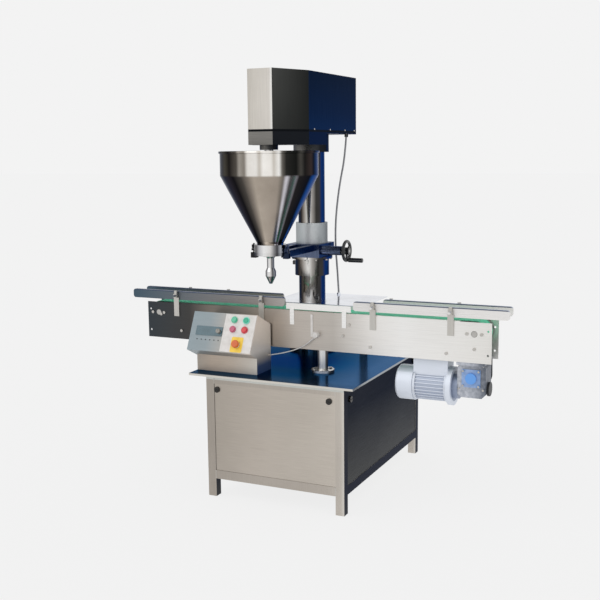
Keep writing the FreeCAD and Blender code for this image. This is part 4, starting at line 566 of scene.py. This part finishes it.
# Painted light and reflection: the front face and body lighten from blue grey at the left to beige at the
# right, and the right side is a painted navy reflection at the bottom with painted light above.
def console_tone(s):
    face = s.along("X", [(-0.491, "#8a979d"), (-0.40, "#8f9a9f"), (-0.33, "#a5a5a2"), (-0.17, "#c9bfb5")])
    body = s.along("X", [(-0.476, "#a89f95"), (-0.40, "#c6b6a6"), (-0.30, "#d0c2b3"), (-0.172, "#d8d3cb")])
    side = s.along("Z", [(0.575, "#2f4878"), (0.61, "#3a5078"), (0.645, "#b5afa6"), (0.68, "#ece4da"),
                         (0.80, "#f4e8dc"), (0.84, "#ead9ca")])
    upright = s.ranged(s.axis("Y", s.place("Normal")), -0.97, -0.95, 1.0, 0.0)
    front = s.mix(upright, face, body)
    return s.mix(s.facing("X", 1), front, side)


steel_console = brushed("steel_console", console_tone, ALONG_X, 0.36, metallic=0.35, contrast=0.12)
dress(steel_console, "console_box")
white_gloss = plastic("white_gloss", "#dedbd8", 0.32)
dress(white_gloss, "console_plate", "sensor")
green_glow = plastic("green_plastic", "#12a883", 0.25, Coat_Weight=0.5)
red_glow = plastic("red_plastic", "#d8323a", 0.25, Coat_Weight=0.5)
dress(green_glow, "start_button")
dress(red_glow, "stop_button")
dress(plastic("orange_plastic", "#d9641c", 0.3, Coat_Weight=0.4), "emergency_stop")
dress(plastic("display_glass", "#4f6a74", 0.22, Coat_Weight=0.4), "display_unit")

lamp_split = (low("panel_lamps").z + high("panel_lamps").z) / 2
lamps = plastic("lamp_lens", "#3aa57c", 0.22, Coat_Weight=0.6)
lamps.colour(lamps.mix(lamps.above("Z", lamp_split), rgb("#b8506c"), rgb("#52b894")))
dress(lamps, "panel_lamps")

# Cords -----------------------------------------------------------------

HEAD_CABLE = ((-0.050, 0.268, 1.612), (-0.056, 0.262, 1.508), (-0.077, 0.255, 1.400),
              (-0.091, 0.248, 1.290), (-0.098, 0.242, 1.180), (-0.095, 0.236, 1.070),
              (-0.082, 0.228, 0.960), (-0.072, 0.218, 0.854))
HEAD_CABLE_D = 0.009
SENSOR_CABLE = ((0.042, -0.339, 0.732), (0.008, -0.340, 0.701), (-0.034, -0.342, 0.679),
                (-0.080, -0.345, 0.663), (-0.126, -0.350, 0.651), (-0.162, -0.355, 0.645))
SENSOR_CABLE_D = 0.005


def nurbs(name, points, diameter):
    """NURBS curve through control points, as a bevelled round flex."""
    data = bpy.data.curves.new(name, "CURVE")
    data.dimensions = "3D"
    data.resolution_u = 24
    spline = data.splines.new("NURBS")
    spline.points.add(len(points) - 1)
    for point, place in zip(spline.points, points):
        point.co = (*place, 1)
    spline.order_u = 3
    spline.use_endpoint_u = True
    data.bevel_depth = diameter / 2
    data.bevel_resolution = 6
    data.use_fill_caps = True
    curve = bpy.data.objects.new(name, data)
    bpy.context.scene.collection.objects.link(curve)
    return curve


def line_of(curve):
    """Points of a curve's centreline, in order."""
    depth = curve.data.bevel_depth
    curve.data.bevel_depth = 0
    bpy.context.view_layer.update()
    mesh = bpy.data.meshes.new_from_object(curve.evaluated_get(bpy.context.evaluated_depsgraph_get()))
    curve.data.bevel_depth = depth
    points = [tuple(v.co) for v in mesh.vertices]
    bpy.data.meshes.remove(mesh)
    return points


def flex(name, colour):
    s = Shader(name, roughness=0.5)
    fine = s.noise((800, 800, 800), 3.0)
    s.colour(s.ramp(fine, [(0.3, colour), (0.8, "#a8a8aa")]))
    s.rough(fine, 0.42, 0.6)
    s.bump(fine, 0.1, 0.0003)
    return s


def make_cable(name, node, points, diameter, colour):
    """A cord as a mesh tube along its NURBS line; its ends go into the object."""
    curve = nurbs(name + "_line", points, diameter)
    path = line_of(curve)
    bpy.context.view_layer.update()
    mesh = bpy.data.meshes.new_from_object(curve.evaluated_get(bpy.context.evaluated_depsgraph_get()))
    bpy.data.objects.remove(curve)
    cable = bpy.data.objects.new(name, mesh)
    bpy.context.scene.collection.objects.link(cable)
    mesh.materials.clear()
    mesh.materials.append(flex(name + "_sheath", colour).material)
    for face in mesh.polygons:
        face.use_smooth = True
    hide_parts(node)
    return cable


head_flex = make_cable("head_flex", "head_cable", HEAD_CABLE, HEAD_CABLE_D, "#7c7d82")
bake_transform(head_flex)
sensor_flex = make_cable("sensor_flex", "sensor_cable", SENSOR_CABLE, SENSOR_CABLE_D, "#dddcd8")
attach(sensor_flex, "machine")

# Mesh helpers ----------------------------------------------------------


def piece(name, mesh, shader, body, smooth=True):
    """Links a mesh as a piece that rides on a body."""
    obj = bpy.data.objects.new(name, mesh)
    bpy.context.scene.collection.objects.link(obj)
    mesh.materials.append(shader.material)
    for face in mesh.polygons:
        face.use_smooth = smooth
    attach(obj, body)
    return obj


def frame_at(place, axis):
    """Matrix whose Z points along axis, at place."""
    turn = Vector(axis).normalized().to_track_quat("Z", "Y").to_matrix().to_4x4()
    return Matrix.Translation(Vector(place)) @ turn


def add_lathe(bm, profile, matrix, segments=32):
    """Adds a closed turned form from (radius, height) points, starting and ending on the axis."""
    rings = []
    for radius, height in profile:
        if radius < 1e-7:
            rings.append([bm.verts.new(matrix @ Vector((0, 0, height)))])
            continue
        rings.append([bm.verts.new(matrix @ Vector((radius * math.cos(2 * math.pi * n / segments),
                                                    radius * math.sin(2 * math.pi * n / segments), height)))
                      for n in range(segments)])
    for a, b in zip(rings, rings[1:]):
        for n in range(segments):
            m = (n + 1) % segments
            corners = []
            for vert in (a[n % len(a)], a[m % len(a)], b[m % len(b)], b[n % len(b)]):
                if vert not in corners:
                    corners.append(vert)
            if len(corners) > 2:
                bm.faces.new(corners)


def add_block(bm, size, matrix, bevel=0.0):
    """Adds a box of the given size, centred on the matrix, with bevelled edges."""
    made = bmesh.ops.create_cube(bm, size=1.0, matrix=matrix @ Matrix.Diagonal((*size, 1)))
    if bevel:
        edges = list({e for v in made["verts"] for e in v.link_edges})
        bmesh.ops.bevel(bm, geom=edges, offset=bevel, segments=2, affect="EDGES", profile=0.5)


def finish_mesh(name, bm):
    bmesh.ops.recalc_face_normals(bm, faces=bm.faces[:])
    mesh = bpy.data.meshes.new(name)
    bm.to_mesh(mesh)
    bm.free()
    return mesh


def sharp(obj, angle=35):
    """Smooth shading with hard edges kept."""
    mod = obj.modifiers.new("weighted", "WEIGHTED_NORMAL")
    mod.keep_sharp = True
    obj.data.set_sharp_from_angle(angle=math.radians(angle))


# Details ---------------------------------------------------------------

FACE_ANGLE = math.radians(64.4)
FACE_LENGTH = 0.1785
console_low = low("console_box")
face_z = high("console_box").z - FACE_LENGTH * math.sin(FACE_ANGLE)
FACE = Matrix.Translation((0, console_low.y, face_z)) @ Matrix.Rotation(FACE_ANGLE, 4, "X")
STOP_PLACE = Vector((centre("emergency_stop").x, 0.039))
START_ROW = 0.150
STOP_ROW = 0.107
KEY_ROW = 0.052
KEY_COUNT = 6
KEY_MARGIN = 0.012
PLATE_T = 0.002


def make_yellow_plate():
    """Yellow square around the emergency stop, with a round hole for its stem."""
    half_x, half_y, corner, thick = 0.029, 0.0345, 0.003, 0.0008
    hole_r, count = 0.0155, 48
    bm = bmesh.new()
    rings = []
    for z in (0, thick):
        outer, inner = [], []
        for n in range(count):
            angle = 2 * math.pi * (n + 0.5) / count
            c, s = math.cos(angle), math.sin(angle)
            reach = min(half_x / max(abs(c), 1e-6), half_y / max(abs(s), 1e-6))
            cut = min(1, (half_x + half_y - corner) / ((abs(c) + abs(s)) * reach))
            place = Vector((STOP_PLACE.x, STOP_PLACE.y, PLATE_T + z + 0.00005))
            outer.append(bm.verts.new(FACE @ (place + Vector((c, s, 0)) * reach * cut)))
            inner.append(bm.verts.new(FACE @ (place + Vector((c, s, 0)) * hole_r)))
        rings.append((outer, inner))
    (low_out, low_in), (top_out, top_in) = rings
    for a, b in ((top_out, top_in), (low_in, low_out), (low_out, top_out), (top_in, low_in)):
        for n in range(count):
            m = (n + 1) % count
            bm.faces.new((a[n], a[m], b[m], b[n]))
    piece("stop_square", finish_mesh("stop_square", bm), plastic("yellow_plate", "#f7d24a", 0.35),
          "machine", smooth=False)


def make_operator_rims():
    """Coloured rims around the two push buttons."""
    rim = [(0.0151, 0.0022), (0.0157, 0.0022), (0.0157, 0.0070), (0.0150, 0.0079), (0.0122, 0.0079),
           (0.01125, 0.0072), (0.01125, 0.00702), (0.0151, 0.00702)]
    buttons = (("start_button", "start_rim", "#6fe0c6", "green_plastic", START_ROW),
               ("stop_button", "stop_rim", "#c92a3c", "red_plastic", STOP_ROW))
    for node, name, colour, slot, row in buttons:
        bm = bmesh.new()
        add_lathe(bm, [*rim, rim[0]], FACE @ Matrix.Translation((centre(node).x, row, 0)), 48)
        shader = plastic(name, colour, 0.25, Coat_Weight=0.5)
        sharp(piece(name, finish_mesh(name, bm), shader, "machine"))


def make_keypad():
    """Row of small membrane keys under the display."""
    bm = bmesh.new()
    lo, hi = low("display_unit").x, high("display_unit").x
    for n in range(KEY_COUNT):
        x = lo + KEY_MARGIN + n * (hi - lo - 2 * KEY_MARGIN) / (KEY_COUNT - 1)
        key = [(0, 0.0), (0.0026, 0.0), (0.0028, 0.0006), (0.0022, 0.0013), (0, 0.0015)]
        add_lathe(bm, key, FACE @ Matrix.Translation((x, KEY_ROW, 0)), 20)
    piece("keypad", finish_mesh("keypad", bm), black_gloss, "machine")


def make_flange_bolts():
    """Socket screws under the lift flange."""
    bm = bmesh.new()
    z = high("lift_sleeve").z - 0.011
    radius, count = 0.0935, 10
    for n in range(count):
        angle = 2 * math.pi * (n + 0.5) / count
        place = (column_x + radius * math.cos(angle), column_y + radius * math.sin(angle), z)
        screw = [(0, 0), (0.0055, 0), (0.0058, 0.001), (0.0058, 0.006), (0.005, 0.0068), (0.003, 0.0068),
                 (0.0028, 0.004), (0, 0.004)]
        add_lathe(bm, screw, frame_at(place, -Z_AXIS), 20)
    screws = piece("flange_screws", finish_mesh("flange_screws", bm), bolt_metal, "carriage")
    sharp(screws)


def make_motor_details():
    """Cowl grille, end shields and flange bolts of the conveyor motor."""
    lo, hi = low("drive_motor"), high("drive_motor")
    axis_y, axis_z = motor_y, motor_axis_z
    bm = bmesh.new()
    for ring in range(5):
        inner = 0.012 + ring * 0.010
        bar = [(inner, 0), (inner, 0.0012), (inner + 0.0025, 0.0012), (inner + 0.0025, 0)]
        add_lathe(bm, [*bar, bar[0]], frame_at((lo.x, axis_y, axis_z), -X_AXIS), 48)
    grille = piece("cowl_grille", finish_mesh("cowl_grille", bm), black_steel, "machine")
    sharp(grille)
    shield_x = hi.x - 0.022 - 0.020
    bm = bmesh.new()
    for x in (shield_x - 0.150, shield_x - 0.012):
        band = [(0.0665, 0), (0.0712, 0.0008), (0.0716, 0.0112), (0.0665, 0.012)]
        add_lathe(bm, [*band, band[0]], frame_at((x, axis_y, axis_z), X_AXIS), 64)
    for n in range(4):
        angle = math.pi * (n / 2 + 0.25)
        place = (hi.x - 0.042, axis_y + 0.074 * math.cos(angle), axis_z + 0.074 * math.sin(angle))
        bolt = [(0, 0), (0.006, 0), (0.0062, 0.004), (0.005, 0.005), (0, 0.005)]
        add_lathe(bm, bolt, frame_at(place, -X_AXIS), 6)
    shields = piece("motor_shields", finish_mesh("motor_shields", bm), motor_paint, "machine")
    sharp(shields)


def make_gearbox_bolts():
    """Cover and corner screws of the worm gearbox."""
    axis_x = centre("drive_sprocket").x
    axis_z = gear_axis_z
    face = gear_face + 0.008
    head = [(0, 0), (0.0045, 0), (0.0045, 0.003), (0.0038, 0.0036), (0.002, 0.0036), (0.0018, 0.0018),
            (0, 0.0018)]
    bm = bmesh.new()
    for dx in (-1, 1):
        for dz in (-1, 1):
            place = (axis_x + dx * 0.033, face, axis_z + dz * 0.031)
            add_lathe(bm, head, frame_at(place, -Y_AXIS), 18)
            corner = (axis_x + dx * 0.051, face + 0.006, axis_z + 0.005 + dz * 0.051)
            add_lathe(bm, head, frame_at(corner, -Y_AXIS), 18)
    bolts = piece("gearbox_screws", finish_mesh("gearbox_screws", bm), bolt_metal, "machine")
    sharp(bolts)


def make_head_screws():
    """Small screws along the cover's foot, on both sides."""
    bm = bmesh.new()
    lo, hi = low("head_cover"), high("head_cover")
    z = lo.z + 0.012
    screw = [(0, 0), (0.004, 0), (0.0036, 0.0014), (0.002, 0.002), (0, 0.0021)]
    for y in (-0.09, 0.09, 0.27, 0.39):
        for x, axis in ((hi.x, X_AXIS), (lo.x, -X_AXIS)):
            add_lathe(bm, screw, frame_at((x, y, z), axis), 16)
    screws = piece("cover_screws", finish_mesh("cover_screws", bm), bolt_metal, "carriage")
    sharp(screws)


def make_frame_welds():
    """Ground weld beads where the rails meet the legs, on the frame's front and back."""
    bm = bmesh.new()
    lo, hi = low("base_frame"), high("base_frame")
    tube, low_rail_z = 0.040, 0.084
    for y, out in ((lo.y, -1), (hi.y, 1)):
        for x in (lo.x + tube, hi.x - tube):
            for z in (low_rail_z + tube / 2, hi.z - tube / 2):
                add_block(bm, (0.003, 0.0012, tube * 0.96),
                          Matrix.Translation((x, y + out * 0.0001, z)), 0.0004)
    welds = piece("frame_welds", finish_mesh("frame_welds", bm), steel_bracket, "machine")
    sharp(welds)


def make_deck_fittings():
    """Small dark clamp on the deck, beside the column."""
    bm = bmesh.new()
    deck_z = low("station_deck").z + 0.030
    x, y = column_x + 0.075, column_y - 0.115
    add_block(bm, (0.022, 0.014, 0.009), Matrix.Translation((x, y, deck_z + 0.0044)), 0.0015)
    knob = [(0, 0), (0.004, 0), (0.004, 0.003), (0.007, 0.004), (0.0075, 0.009), (0.006, 0.010), (0, 0.0105)]
    add_lathe(bm, knob, frame_at((x, y, deck_z + 0.0085), Z_AXIS), 24)
    clamps = piece("deck_clamps", finish_mesh("deck_clamps", bm), black_gloss, "machine")
    sharp(clamps)


make_yellow_plate()
make_operator_rims()
make_keypad()
make_flange_bolts()
make_motor_details()
make_gearbox_bolts()
make_head_screws()
make_frame_welds()
make_deck_fittings()

# Studio ----------------------------------------------------------------


def sun(name, source, power, angle):
    """Soft, even light from the direction of source."""
    data = bpy.data.lights.new(name, "SUN")
    data.energy = power
    data.angle = math.radians(angle)
    lamp = bpy.data.objects.new(name, data)
    bpy.context.scene.collection.objects.link(lamp)
    lamp.matrix_world = frame_at((0, 0, 3), source)


def make_studio():
    mesh = bpy.data.meshes.new("floor")
    reach = 60
    corners = [(-reach, -reach, 0), (reach, -reach, 0), (reach, reach, 0), (-reach, reach, 0)]
    mesh.from_pydata(corners, [], [(0, 1, 2, 3)])
    floor = bpy.data.objects.new("floor", mesh)
    bpy.context.scene.collection.objects.link(floor)
    paint = Shader("floor_paint", "#4b4b4b", roughness=1.0, Specular_IOR_Level=0.0)
    paint.set("Emission Color", rgb("#f3f3f3"))
    paint.set("Emission Strength", 0.912)
    mesh.materials.append(paint.material)
    world = bpy.data.worlds.new("studio")
    bpy.context.scene.world = world
    world.use_nodes = True
    background = world.node_tree.nodes["Background"]
    background.inputs["Color"].default_value = rgb("#f3f3f3")
    background.inputs["Strength"].default_value = 1.0
    sun("key", (-0.5, -0.8, 0.9), 0.5, 60)
    bpy.context.scene.view_settings.view_transform = "Standard"


make_studio()
